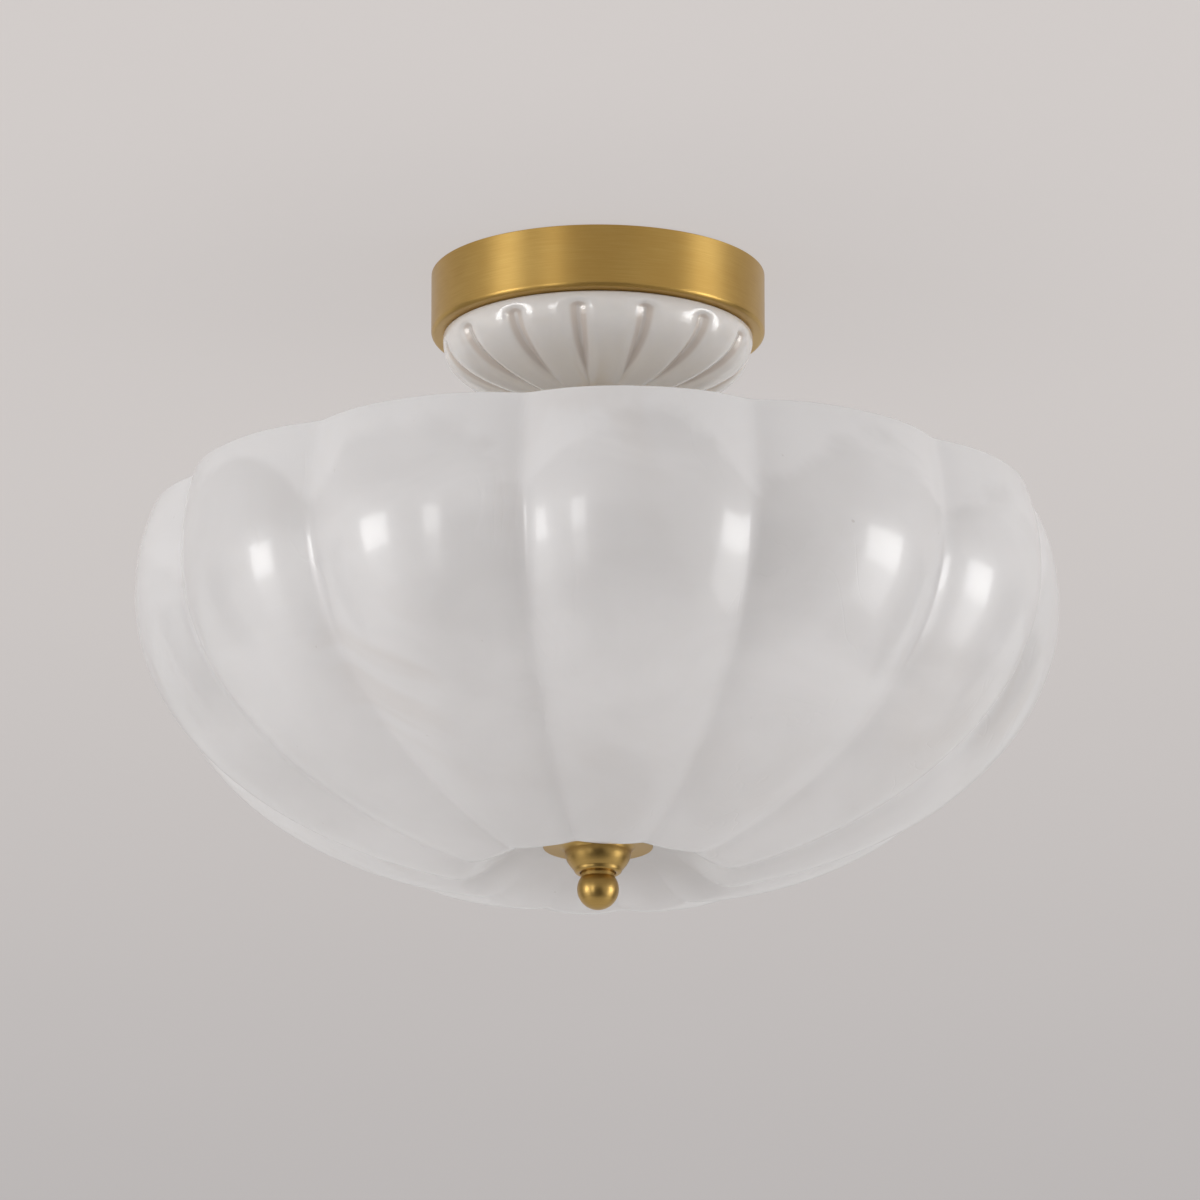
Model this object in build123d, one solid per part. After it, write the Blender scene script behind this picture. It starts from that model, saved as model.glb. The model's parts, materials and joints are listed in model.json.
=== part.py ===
from build123d import *
import math
import os

os.makedirs("parts", exist_ok=True)

# Semi-flush ceiling light. Millimetres, +Z up, origin on the ceiling plane at the lamp's centre line.
# A drop is how far a place lies below the ceiling, a positive number, and z = -drop.

# Canopy: a spun brass can against the ceiling
canopy_radius = 72.5
canopy_height = 27.5
canopy_wall = 1.0
canopy_corner = 1.8

# Dome: the small fluted glass, mouth up, under the canopy
dome_inset = 5.2
dome_height = 30.7
dome_wall = 3.0
dome_lip_height = 4.0
dome_flutes = 14
dome_flute_depth = 2.6
dome_flute_turn = -97.5
dome_fullness = 2.25
dome_groove_start = 0.6
dome_groove_end = 1.2
dome_gasket_thickness = 0.8
dome_gasket_inset = 2.5
dome_gasket_width = 6.0
dome_seat_radius = 12.0

# Bowl: the large lobed glass shade
bowl_radius = 200.0
bowl_rim_drop = 110.0
bowl_waist_drop = 148.0
bowl_depth_below_waist = 129.0
bowl_rim_inset = 8.0
bowl_rim_curve = 2.2
bowl_wall = 4.5
bowl_lobes = 12
bowl_lobe_depth = 10.5
bowl_lobe_fade = 0.6
bowl_lobe_turn = -99.5
bowl_rim_lobe_depth = 7.5
bowl_dimple_height = 21.7
bowl_dimple_radius = 62.0
bowl_seat_radius = 25.0
bowl_hole_radius = 6.0
bowl_rim_crown = 1.2

# Shape of the lobes: how soft the grooves are, and how round the lobes
groove_softness = 0.06
bowl_lobe_roundness = 2.5
dome_flute_roundness = 4.0
lobe_stations = (-1.0, -0.93, -0.78, -0.45, 0.0, 0.45, 0.78, 0.93, 1.0)
line_steps = 14

# Finial: the brass cup and the ball nut under the bowl
cup_radius = 23.6
cup_flange_thickness = 1.5
cup_bell_radius = 14.2
cup_mouth_radius = 11.4
cup_height = 13.0
cup_bore_depth = 6.2
cup_flare = 2.4
cup_bulge = 0.4
cup_edge = 1.0
ball_radius = 9.0
ball_neck_radius = 7.4
ball_neck_show = 1.68
ball_floor = 7.5

# Stem, rod and what screws on them
stem_radius = 5.0
stem_top_drop = 3.5
rod_radius = 4.0
nut_flats = 14.0
nut_height = 3.5
toothed_washer_radius = 8.5
toothed_washer_thickness = 0.6
coupler_height = 20.0
stop_nut_flats = 13.0
stop_nut_height = 6.5
stop_washer_radius = 16.0
stop_washer_thickness = 1.6
bowl_gasket_radius = 14.0
bowl_gasket_thickness = 2.0
cup_gasket_radius = 18.0
cup_gasket_thickness = 1.5

# Crossbar on the ceiling, with a well for the upper nut
bar_end_gap = 7.5
bar_width = 24.0
bar_thickness = 2.0
bar_well_drop = 8.0
bar_well_length = 68.0
bar_slope_run = 6.0
bar_slot_inset = 12.0
bar_slot_length = 14.0
bar_slot_width = 5.0

# Terminal block under the crossbar, with its busbars and screws
block_length = 16.0
block_width = 15.0
block_height = 13.5
block_start = 12.0
block_ear_height = 2.5
block_column_pitch = 4.0
block_entry_depth = 5.0
busbar_length = 9.0
busbar_height = 3.6
busbar_margin = 2.5
block_screw_radius = 1.2
block_screw_head_radius = 2.1
earth_screw_radius = 2.0
earth_screw_head_radius = 3.8
earth_screw_distance = 22.0
earth_washer_radius = 5.0
earth_washer_thickness = 1.0
screw_head_height = 2.2
screw_head_round = 1.0
screw_slot_length = 1.5
screw_slot_width = 0.3

# Slip collar that holds the dome and the canopy up
dome_washer_radius = 10.0
dome_washer_thickness = 1.5
collar_radius = 11.0
collar_height = 12.0
collar_screw_radius = 2.0
collar_screw_socket_radius = 1.0

# Lamp hub on the stem
hub_top_drop = 128.0
hub_radius = 30.0
hub_height = 28.0
hub_wall = 1.2
hub_cover_rim = 2.0
lamp_count = 3
lamp_turn = 90.0

# Lamp holders, laid out along an axis that points away from the stem
nipple_start = 24.0
nipple_length = 16.0
nipple_bore_radius = 3.0
nipple_nut_flats = 13.0
nipple_nut_height = 3.0
spacer_radius = 8.0
spacer_length = 6.0
holder_radius = 14.0
holder_back_radius = 12.5
holder_back_wall = 4.0
holder_chamber_length = 10.0
holder_chamber_radius = 10.0
holder_floor = 3.0
holder_mouth_length = 27.0
holder_mouth_radius = 9.2
shell_length = 22.0
shell_wall = 0.5
shell_plate_hole = 4.5
contact_head_radius = 2.4
contact_head_height = 1.2
contact_pin_radius = 1.5
terminal_width = 3.6
terminal_height = 5.0
terminal_length = 5.0
terminal_hole_depth = 3.5

# Bulbs: golf-ball shape on a small screw cap
cap_radius = 6.9
cap_length = 19.5
cap_wall = 0.5
bulb_length = 78.0
globe_radius = 22.5
globe_wall = 1.2
bulb_collar_radius = 15.0
bulb_collar_neck_radius = 8.5
bulb_collar_wall = 1.4
bulb_collar_hole = 2.5
bulb_tip_radius = 2.6
bulb_tip_face = 1.8
bulb_tip_height = 1.5
insulator_radius = 3.2
insulator_height = 2.5
source_radius = 3.5
source_round = 2.1
source_length = 24.0

# Leads: six on a ring inside the stem, a pair to each lamp
lead_radius = 0.9
lead_spacing = 0.4
lead_spread = 30.0
lead_bend_at_block = 3.3
lead_bend_at_holder = 4.0
lead_small_bend = 2.0

# Clearances
running_gap = 0.05
slack = 0.1
lead_gap = 0.3
loose_gap = 0.5
end_gap = 0.3
bore_gap = 0.15


# Sizes and heights that follow from the sizes above
dome_radius = canopy_radius - dome_inset
dome_seat_angle = math.acos((dome_seat_radius / dome_radius) ** (dome_fullness / 2))
dome_top_drop = canopy_height + dome_gasket_thickness
dome_bottom_drop = dome_top_drop + dome_height
collar_top_drop = dome_bottom_drop + dome_washer_thickness
bowl_seat_angle = math.acos(bowl_seat_radius / bowl_radius)
bowl_bottom_drop = bowl_waist_drop + bowl_depth_below_waist * math.sin(bowl_seat_angle)
bowl_seat_drop = bowl_bottom_drop - bowl_dimple_height
cup_top_drop = bowl_seat_drop + cup_gasket_thickness
ball_neck_height = math.sqrt(ball_radius ** 2 - ball_neck_radius ** 2)
ball_centre_drop = cup_top_drop + cup_height + ball_neck_show + ball_neck_height
ball_neck_top_drop = cup_top_drop + cup_bore_depth + slack
rod_foot_drop = ball_centre_drop + ball_radius - ball_floor
bowl_inner_seat_drop = bowl_seat_drop - bowl_wall
stop_washer_foot_drop = bowl_inner_seat_drop - bowl_gasket_thickness - end_gap
hub_foot_drop = hub_top_drop + hub_height
lamp_drop = hub_top_drop + hub_height / 2
stem_foot_drop = hub_foot_drop + coupler_height / 2
bar_length = 2 * (canopy_radius - canopy_wall - bar_end_gap)
bar_slot_spacing = bar_length - 2 * bar_slot_inset
bar_floor_drop = bar_well_drop + bar_thickness

# Places along a lamp's own axis, measured from the stem's centre line
spacer_end = hub_radius + spacer_length
chamber_start = spacer_end + holder_back_wall
holder_floor_start = chamber_start + holder_chamber_length
holder_floor_end = holder_floor_start + holder_floor
holder_end = holder_floor_end + holder_mouth_length
bulb_tip = holder_floor_end + contact_head_height + end_gap
insulator_start = bulb_tip + bulb_tip_height
cap_start = insulator_start + insulator_height - cap_wall
cap_end = cap_start + cap_length
globe_centre = bulb_tip + bulb_length - globe_radius
globe_start = globe_centre - math.sqrt(globe_radius ** 2 - bulb_collar_radius ** 2)
lead_ring_radius = 2 * lead_radius + lead_spacing
lead_half_pitch = lead_ring_radius * math.sin(math.radians(lead_spread))
lead_line = lead_ring_radius * math.cos(math.radians(lead_spread))
stem_bore_radius = lead_ring_radius + lead_radius + bore_gap
terminal_line = contact_pin_radius + lead_gap + terminal_width / 2

# Which way a cylinder or box lies from its place
hang = (Align.CENTER, Align.CENTER, Align.MAX)
on_end = (Align.CENTER, Align.CENTER, Align.MIN)


def post(radius, top_drop, height):
    """Upright cylinder about the centre line, from its top downwards."""
    return Pos(0, 0, -top_drop) * Cylinder(radius, height, align=hang)


def tube(outer, inner, top_drop, height):
    """Upright ring or tube about the centre line, from its top downwards."""
    return post(outer, top_drop, height) - post(inner, top_drop, height)


def nut(flats, inner, top_drop, height):
    """Hexagon nut about the centre line, from its top downwards."""
    outline = RegularPolygon(flats / 2, 6, major_radius=False) - Circle(inner)
    return Pos(0, 0, -top_drop) * extrude(outline, amount=-height)


def sleeve(outer, inner, start, length):
    """Ring or tube along a lamp's own axis, outwards from its start."""
    wall = Cylinder(outer, length, align=on_end) - Cylinder(inner, length, align=on_end)
    return Pos(0, 0, start) * wall


def turned(outline):
    """Solid turned about the Z axis from (radius, z) corners."""
    corners = [(r, 0, z) for r, z in outline]
    return revolve(make_face(Polyline(*corners, close=True)), Axis.Z)


def lamp_place(index):
    """Place whose Z axis points outwards along one lamp's axis, with X level."""
    turn = lamp_turn + index * 360 / lamp_count
    return Rot(0, 0, turn) * Pos(0, 0, -lamp_drop) * Rot(0, 90, 0) * Rot(0, 0, 90)


def save(node, *solids):
    """Write one node: a single solid, or a group of like solids."""
    pieces = [piece for item in solids for piece in item.solids()]
    shape = pieces[0] if len(pieces) == 1 else Compound(children=pieces)
    shape.label = node
    export_step(shape, os.path.join("parts", node + ".step"))


# Lobed glass

line_stations = [2 * i / line_steps for i in range(line_steps + 1)]


def ease(x):
    """Smooth step from 0 to 1."""
    x = min(max(x, 0.0), 1.0)
    return x * x * (3 - 2 * x)


def bulge(u, roundness):
    """How far a lobe stands out: 0 in the grooves at u = -1 and 1, and 1 on the crest at u = 0."""
    v = 1 - abs(u)
    v = math.hypot(v, groove_softness) - groove_softness
    v = v / (math.hypot(1, groove_softness) - groove_softness)
    return 1 - (1 - v) ** roundness


def bowl_crest(t):
    """Radius and drop along the bowl's crest: t is 0 at the rim, 1 at the waist and 2 at the seat."""
    if t <= 1:
        rise = 1 - t
        r = bowl_radius - bowl_rim_inset * rise ** bowl_rim_curve
        return r, bowl_waist_drop - (bowl_waist_drop - bowl_rim_drop) * rise
    angle = (t - 1) * bowl_seat_angle
    r = bowl_radius * math.cos(angle)
    dimple = bowl_dimple_height * ease((bowl_dimple_radius - r) / (bowl_dimple_radius - bowl_seat_radius))
    return r, bowl_waist_drop + bowl_depth_below_waist * math.sin(angle) - dimple


def bowl_groove_depth(t):
    """Depth of the grooves along the bowl, fading out on the seat."""
    if t <= 1:
        return bowl_lobe_depth - (bowl_lobe_depth - bowl_rim_lobe_depth) * (1 - t) ** 2
    r, _ = bowl_crest(t)
    fade = ease((r - bowl_seat_radius) / (bowl_dimple_radius - bowl_seat_radius))
    return bowl_lobe_depth * (r / bowl_radius) ** bowl_lobe_fade * fade


def dome_crest(t):
    """Radius and drop along the dome's flutes: t is 0 under the lip and 2 at the seat."""
    angle = t / 2 * dome_seat_angle
    r = dome_radius * math.cos(angle) ** (2 / dome_fullness)
    fall = (math.sin(angle) / math.sin(dome_seat_angle)) ** (2 / dome_fullness)
    return r, dome_top_drop + dome_lip_height + (dome_height - dome_lip_height) * fall


def dome_groove_depth(t):
    """Depth of the grooves along the dome: they start under the smooth lip and fade towards the seat."""
    return dome_flute_depth * ease(t / dome_groove_start) * ease((2 - t) / dome_groove_end)


def glass_line(crest, depth, sink, t, level_to):
    """Point on the glass this far down the line, set inwards by its share of the groove and by sink."""
    r, drop = crest(t)
    step = 0.002
    r0, drop0 = crest(max(t - step, 0))
    r1, drop1 = crest(min(t + step, 2))
    length = math.hypot(r1 - r0, drop1 - drop0)
    out, down = (drop1 - drop0) / length, (r0 - r1) / length
    if t <= level_to:
        out, down = 1.0, 0.0
    inward = depth(t) + sink
    return r - out * inward, drop - down * inward


def lobed_glass(crest, depth, wall, lobes, turn, roundness, hole, level_to, lip=0.0, crown=0.0):
    """Lobed glass bowl, mouth up. One lobe is lofted from groove to groove through upright wall sections,
    its copies are set round the centre line, and their skins are joined along the grooves."""
    pitch = 360 / lobes

    def section(u):
        share = 1 - bulge(u, roundness)
        angle = math.radians(turn + (u + 1) * pitch / 2)

        def place(r, z):
            return Vector(r * math.cos(angle), r * math.sin(angle), z)

        def point(t, sink):
            r, drop = glass_line(crest, lambda s: depth(s) * share, sink, t, level_to)
            return place(r, -drop)

        outer = [point(t, 0) for t in line_stations]
        inner = [point(t, wall) for t in reversed(line_stations)]
        seat_foot = place(hole, outer[-1].Z)
        seat_top = place(hole, inner[0].Z)
        lip_outer = outer[0] + Vector(0, 0, lip)
        lip_inner = inner[-1] + Vector(0, 0, lip)
        rim = (lip_outer + lip_inner) * 0.5 + Vector(0, 0, crown)
        edges = [Edge.make_spline(outer), Edge.make_line(outer[-1], seat_foot)]
        edges += [Edge.make_line(seat_foot, seat_top), Edge.make_line(seat_top, inner[0])]
        edges += [Edge.make_spline(inner)]
        if lip > 0:
            edges += [Edge.make_line(inner[-1], lip_inner)]
        if crown > 0:
            edges += [Edge.make_three_point_arc(lip_inner, rim, lip_outer)]
        else:
            edges += [Edge.make_line(lip_inner, lip_outer)]
        if lip > 0:
            edges += [Edge.make_line(lip_outer, outer[0])]
        return Wire(edges)

    lobe = Solid.make_loft([section(u) for u in lobe_stations])
    level = 0.99
    skin = [face for face in lobe.faces() if not face.is_planar or abs(face.normal_at().Z) > level]
    skins = [face.rotate(Axis.Z, k * pitch) for k in range(lobes) for face in skin]
    return Solid(Shell(skins))


save(
    "bowl_glass",
    lobed_glass(
        bowl_crest,
        bowl_groove_depth,
        bowl_wall,
        bowl_lobes,
        bowl_lobe_turn,
        bowl_lobe_roundness,
        bowl_hole_radius,
        level_to=1.0,
        crown=bowl_rim_crown,
    ),
)
save(
    "dome_glass",
    lobed_glass(
        dome_crest,
        dome_groove_depth,
        dome_wall,
        dome_flutes,
        dome_flute_turn,
        dome_flute_roundness,
        stem_radius + loose_gap,
        level_to=0.0,
        lip=dome_lip_height,
    ),
)


# Canopy, its gasket, and the washer and collar that hold both glasses up on the stem

canopy = post(canopy_radius, 0, canopy_height)
foot_edge = canopy.edges().filter_by(GeomType.CIRCLE).sort_by(Axis.Z)[0]
canopy = fillet(foot_edge, canopy_corner)
canopy -= post(canopy_radius - canopy_wall, 0, canopy_height - canopy_wall)
canopy -= post(stem_radius + loose_gap, 0, 2 * canopy_height)
save("canopy", canopy)

gasket_radius = dome_radius - dome_gasket_inset
canopy_gasket = tube(gasket_radius, gasket_radius - dome_gasket_width, canopy_height, dome_gasket_thickness)
save("canopy_gasket", canopy_gasket)
save("dome_washer", tube(dome_washer_radius, stem_radius + slack, dome_bottom_drop, dome_washer_thickness))

screw_axis = Pos(0, 0, -collar_top_drop - collar_height / 2) * Rot(-90, 0, 0)
collar_screw_start = stem_radius + slack
collar_screw_length = collar_radius - collar_screw_start
collar = tube(collar_radius, stem_radius + running_gap, collar_top_drop, collar_height)
collar -= screw_axis * Cylinder(collar_screw_radius + running_gap, collar_radius * 2, align=on_end)
save("slip_collar", collar)
collar_screw = Cylinder(collar_screw_radius, collar_screw_length, align=on_end)
hex_socket = extrude(RegularPolygon(collar_screw_socket_radius, 6), amount=collar_screw_length / 2)
collar_screw -= Pos(0, 0, collar_screw_length / 2) * hex_socket
save("collar_screw", screw_axis * Pos(0, 0, collar_screw_start) * collar_screw)


# Crossbar: flat ends against the ceiling, slopes, and a well with the stem's hole

half_well = bar_well_length / 2
half_bar = bar_length / 2
slope_shift = bar_thickness * bar_slope_run / (bar_well_drop + math.hypot(bar_slope_run, bar_well_drop))
upper_side = [
    (-half_bar, 0),
    (-half_well - bar_slope_run, 0),
    (-half_well, -bar_well_drop),
    (half_well, -bar_well_drop),
    (half_well + bar_slope_run, 0),
    (half_bar, 0),
]
lower_side = [
    (half_bar, -bar_thickness),
    (half_well + bar_slope_run + slope_shift, -bar_thickness),
    (half_well + slope_shift, -bar_floor_drop),
    (-half_well - slope_shift, -bar_floor_drop),
    (-half_well - bar_slope_run - slope_shift, -bar_thickness),
    (-half_bar, -bar_thickness),
]
bar_outline = make_face(Plane.XZ * Polyline(*upper_side, *lower_side, close=True))
crossbar = extrude(bar_outline, amount=bar_width / 2, both=True)
crossbar -= post(stem_radius + slack, 0, 2 * bar_floor_drop)
for side in (-1, 1):
    slot = SlotOverall(bar_slot_length, bar_slot_width)
    crossbar -= Pos(side * bar_slot_spacing / 2, 0, -bar_thickness) * extrude(slot, amount=bar_thickness)

block_screw_places = [
    (block_start + block_length / 2, side * (bar_width + block_width) / 4) for side in (-1, 1)
]
for x, y in block_screw_places:
    crossbar -= Pos(x, y, -bar_floor_drop) * Cylinder(block_screw_radius + running_gap, 3 * bar_thickness)
crossbar -= Pos(-earth_screw_distance, 0, -bar_floor_drop) * Cylinder(
    earth_screw_radius + running_gap, 3 * bar_thickness
)
save("crossbar", crossbar)


def pan_screw(radius, head_radius, grip):
    """Pan-head screw seen from its seat: the shank goes up by its grip, and the head hangs below."""
    shank = Cylinder(radius, grip, align=on_end)
    head = Cylinder(head_radius, screw_head_height, align=hang)
    head = fillet(head.edges().sort_by(Axis.Z)[0], screw_head_round)
    drive = Box(head_radius * screw_slot_length, head_radius * screw_slot_width, screw_head_height)
    return shank + head - Pos(0, 0, -screw_head_height) * drive


earth_seat = -bar_floor_drop - earth_washer_thickness
earth_screw = pan_screw(earth_screw_radius, earth_screw_head_radius, bar_thickness + earth_washer_thickness)
save("earth_screw", Pos(-earth_screw_distance, 0, earth_seat) * earth_screw)
earth_washer = tube(earth_washer_radius, earth_screw_radius + slack, bar_floor_drop, earth_washer_thickness)
save("earth_washer", Pos(-earth_screw_distance, 0, 0) * earth_washer)


# Stem with its windows for the leads

block_level_drop = bar_floor_drop + nut_height + toothed_washer_thickness + lead_radius + lead_gap
lead_turn_drop = block_level_drop + lead_bend_at_block + 2 * lead_ring_radius
lower_row_drop = lead_turn_drop - lead_bend_at_block
stem = tube(stem_radius, stem_bore_radius, stem_top_drop, stem_foot_drop - stem_top_drop)
top_window_height = lead_turn_drop - block_level_drop + lead_radius + lead_gap
top_window_width = 2 * (lead_line + lead_radius + slack)
beside = (Align.MIN, Align.CENTER, Align.MAX)
top_window = Box(2 * stem_radius, top_window_width, top_window_height, align=beside)
stem -= Pos(0, 0, -block_level_drop + lead_radius + lead_gap) * top_window
holder_window_width = lead_ring_radius + 2 * (lead_radius + lead_gap)
holder_window_height = lead_bend_at_holder + 2 * (lead_radius + lead_gap)
outwards = (Align.CENTER, Align.MIN, Align.MIN)
window = Box(holder_window_width, holder_window_height, 2 * stem_radius, align=outwards)
for index in range(lamp_count):
    stem -= lamp_place(index) * Pos(0, -lead_radius - lead_gap, 0) * window
save("stem_tube", stem)

stem_hole = stem_radius + running_gap
hub_washer_drop = hub_top_drop - toothed_washer_thickness
save(
    "stem_nuts",
    nut(nut_flats, stem_hole, bar_well_drop - nut_height, nut_height),
    nut(nut_flats, stem_hole, bar_floor_drop + toothed_washer_thickness, nut_height),
    nut(nut_flats, stem_hole, hub_washer_drop - nut_height, nut_height),
)
save(
    "toothed_washers",
    tube(toothed_washer_radius, stem_hole, bar_floor_drop, toothed_washer_thickness),
    tube(toothed_washer_radius, stem_hole, hub_washer_drop, toothed_washer_thickness),
)


# Terminal block with two rows of three entries, its busbars and its screws

row_drops = (block_level_drop, lower_row_drop)
column_places = (-block_column_pitch, 0, block_column_pitch)
busbar_start = block_start + block_entry_depth
busbar_width = 2 * (block_column_pitch + busbar_margin)
block = Pos(block_start, 0, -bar_floor_drop) * Box(block_length, block_width, block_height, align=beside)
block += Pos(block_start, 0, -bar_floor_drop) * Box(block_length, bar_width, block_ear_height, align=beside)
level = (Align.MIN, Align.CENTER, Align.CENTER)
busbars = []
for row_drop in row_drops:
    pocket = Box(block_length, busbar_width + slack, busbar_height + slack, align=level)
    block -= Pos(busbar_start, 0, -row_drop) * pocket
    busbar = Box(busbar_length, busbar_width, busbar_height, align=level)
    for y in column_places:
        along = Rot(0, 90, 0) * Cylinder(lead_radius + slack, busbar_length * 3)
        busbar -= Pos(0, y, 0) * along
        entry = Rot(0, 90, 0) * Cylinder(lead_radius + lead_gap, block_entry_depth * 2)
        block -= Pos(block_start, y, -row_drop) * entry
    busbars.append(Pos(busbar_start, 0, -row_drop) * busbar)
for x, y in block_screw_places:
    block -= Pos(x, y, -bar_floor_drop) * Cylinder(block_screw_radius + slack, 3 * block_ear_height)
save("terminal_block", block)
save("terminal_busbars", *busbars)
ear_seat = -bar_floor_drop - block_ear_height
block_screw = pan_screw(block_screw_radius, block_screw_head_radius, block_ear_height + bar_thickness)
save("terminal_block_screws", *[Pos(x, y, ear_seat) * block_screw for x, y in block_screw_places])


# Lamp hub, clamped on the stem between a nut and the coupler

hub_cup = tube(hub_radius, hub_radius - hub_wall, hub_top_drop, hub_height - hub_wall)
hub_cup += tube(hub_radius, stem_hole, hub_top_drop, hub_wall)
hub_cover = tube(hub_radius, stem_hole, hub_foot_drop - hub_wall, hub_wall)
cover_rim = hub_radius - hub_wall - slack
hub_cover += tube(cover_rim, cover_rim - hub_wall, hub_foot_drop - hub_wall - hub_cover_rim, hub_cover_rim)
for index in range(lamp_count):
    hub_cup -= lamp_place(index) * Cylinder(stem_hole, 2 * hub_radius, align=on_end)
save("hub_cup", hub_cup)
save("hub_cover", hub_cover)

coupler = nut(nut_flats, rod_radius + running_gap, hub_foot_drop, coupler_height)
coupler -= post(stem_hole, hub_foot_drop, coupler_height / 2 + slack)
save("stem_coupler", coupler)


# Lower rod, with the nut and washer that stop the bowl from above

rod_top_drop = stem_foot_drop + slack
save("lower_rod", post(rod_radius, rod_top_drop, rod_foot_drop - rod_top_drop))
rod_hole = rod_radius + running_gap
stop_washer_drop = stop_washer_foot_drop - stop_washer_thickness
save("stop_washer", tube(stop_washer_radius, rod_hole, stop_washer_drop, stop_washer_thickness))
save("stop_nut", nut(stop_nut_flats, rod_hole, stop_washer_drop - stop_nut_height, stop_nut_height))


# Gaskets each side of the bowl, the cup and the ball nut

gasket_drop = bowl_inner_seat_drop - bowl_gasket_thickness
save("bowl_gasket", tube(bowl_gasket_radius, rod_radius + loose_gap, gasket_drop, bowl_gasket_thickness))
save("cup_gasket", tube(cup_gasket_radius, rod_radius + loose_gap, bowl_seat_drop, cup_gasket_thickness))

cup_top = -cup_top_drop
cup_foot = cup_top - cup_height
flange_foot = cup_top - cup_flange_thickness
bell_middle = (
    (cup_bell_radius + cup_mouth_radius) / 2 + cup_bulge,
    (flange_foot - cup_flare + cup_foot + cup_edge) / 2,
)
with BuildSketch(Plane.XZ) as cup_outline:
    with BuildLine():
        top = Line((rod_radius + slack, cup_top), (cup_radius, cup_top))
        rim = Line(top @ 1, (cup_radius, flange_foot))
        under = Line(rim @ 1, (cup_bell_radius + cup_flare, flange_foot))
        flare = RadiusArc(under @ 1, (cup_bell_radius, flange_foot - cup_flare), cup_flare)
        bell = ThreePointArc(flare @ 1, bell_middle, (cup_mouth_radius, cup_foot + cup_edge))
        edge = RadiusArc(bell @ 1, (cup_mouth_radius - cup_edge, cup_foot), cup_edge)
        mouth = Line(edge @ 1, (ball_neck_radius + end_gap, cup_foot))
        bore = Line(mouth @ 1, (ball_neck_radius + end_gap, cup_top - cup_bore_depth))
        shoulder = Line(bore @ 1, (rod_radius + slack, cup_top - cup_bore_depth))
        Line(shoulder @ 1, top @ 0)
    make_face()
save("finial_cup", revolve(cup_outline.sketch, Axis.Z))

ball = Pos(0, 0, -ball_centre_drop) * Sphere(ball_radius)
ball += post(ball_neck_radius, ball_neck_top_drop, ball_centre_drop - ball_neck_top_drop)
ball -= post(rod_hole, ball_neck_top_drop, rod_foot_drop - ball_neck_top_drop + loose_gap)
save("finial_ball", ball)


# Lamp holders: each is turned about its own axis and then laid on that axis

holder_body = turned(
    [
        (stem_hole, spacer_end),
        (holder_back_radius, spacer_end),
        (holder_back_radius, holder_floor_start),
        (holder_radius, holder_floor_end),
        (holder_radius, holder_end),
        (holder_mouth_radius, holder_end),
        (holder_mouth_radius, holder_floor_end),
        (contact_pin_radius + running_gap, holder_floor_end),
        (contact_pin_radius + running_gap, holder_floor_start),
        (holder_chamber_radius, holder_floor_start),
        (holder_chamber_radius, chamber_start),
        (stem_hole, chamber_start),
    ]
)
shell_inner = cap_radius + slack
holder_shell = turned(
    [
        (shell_plate_hole, holder_floor_end),
        (shell_inner + shell_wall, holder_floor_end),
        (shell_inner + shell_wall, holder_floor_end + shell_length),
        (shell_inner, holder_floor_end + shell_length),
        (shell_inner, holder_floor_end + shell_wall),
        (shell_plate_hole, holder_floor_end + shell_wall),
    ]
)
contact_pin_end = holder_floor_start - (terminal_length - terminal_hole_depth)
holder_contact = turned(
    [
        (0, contact_pin_end),
        (contact_pin_radius, contact_pin_end),
        (contact_pin_radius, holder_floor_end),
        (contact_head_radius, holder_floor_end),
        (contact_head_radius, holder_floor_end + contact_head_height),
        (0, holder_floor_end + contact_head_height),
    ]
)
terminal_start = holder_floor_start - terminal_length
terminals = []
for side in (-1, 1):
    terminal = Box(terminal_width, terminal_height, terminal_length, align=on_end)
    terminal -= Cylinder(lead_radius + slack, terminal_hole_depth, align=on_end)
    terminals.append(Pos(side * terminal_line, 0, terminal_start) * terminal)

nipple = sleeve(stem_radius, nipple_bore_radius, nipple_start, nipple_length)
nipple_nut_corner = nipple_nut_flats / math.sqrt(3)
nipple_nut_end = math.sqrt((hub_radius - hub_wall) ** 2 - nipple_nut_corner ** 2) - slack
nipple_nut = nut(nipple_nut_flats, stem_hole, -nipple_nut_end, nipple_nut_height)
spacer = sleeve(spacer_radius, stem_hole, 0, spacer_end)
spacer -= Rot(90, 0, 0) * Cylinder(hub_radius, 4 * spacer_radius)


# Bulbs, turned in the same way

insulator_end = insulator_start + insulator_height
cap_bore = cap_radius - cap_wall
throat = cap_bore - running_gap
bulb_contact = turned(
    [
        (0, bulb_tip),
        (bulb_tip_face, bulb_tip),
        (bulb_tip_radius, insulator_start),
        (0, insulator_start),
    ]
)
bulb_insulator = turned(
    [
        (0, insulator_start),
        (insulator_radius, insulator_start),
        (throat, insulator_end),
        (0, insulator_end),
    ]
)
bulb_cap = sleeve(cap_radius, cap_bore, cap_start, cap_length)
neck = bulb_collar_neck_radius
wall = bulb_collar_wall
neck_end = holder_end + end_gap
bulb_collar = turned(
    [
        (throat - wall, cap_end - wall),
        (throat, cap_end - wall),
        (throat, cap_end),
        (neck, cap_end),
        (neck, neck_end),
        (bulb_collar_radius, globe_start - wall),
        (bulb_collar_radius, globe_start),
        (bulb_collar_hole, globe_start),
        (bulb_collar_hole, globe_start - wall),
        (bulb_collar_radius - wall, globe_start - wall),
        (neck - wall, neck_end),
        (neck - wall, cap_end + wall),
        (throat - wall, cap_end + wall),
    ]
)
globe = Pos(0, 0, globe_centre) * (Sphere(globe_radius) - Sphere(globe_radius - globe_wall))
globe -= Pos(0, 0, globe_start) * Cylinder(globe_radius, globe_radius, align=hang)
source = Pos(0, 0, globe_start) * Cylinder(source_radius, source_length, align=on_end)
source = fillet(source.edges().sort_by(Axis.Z)[-1], source_round)

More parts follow.
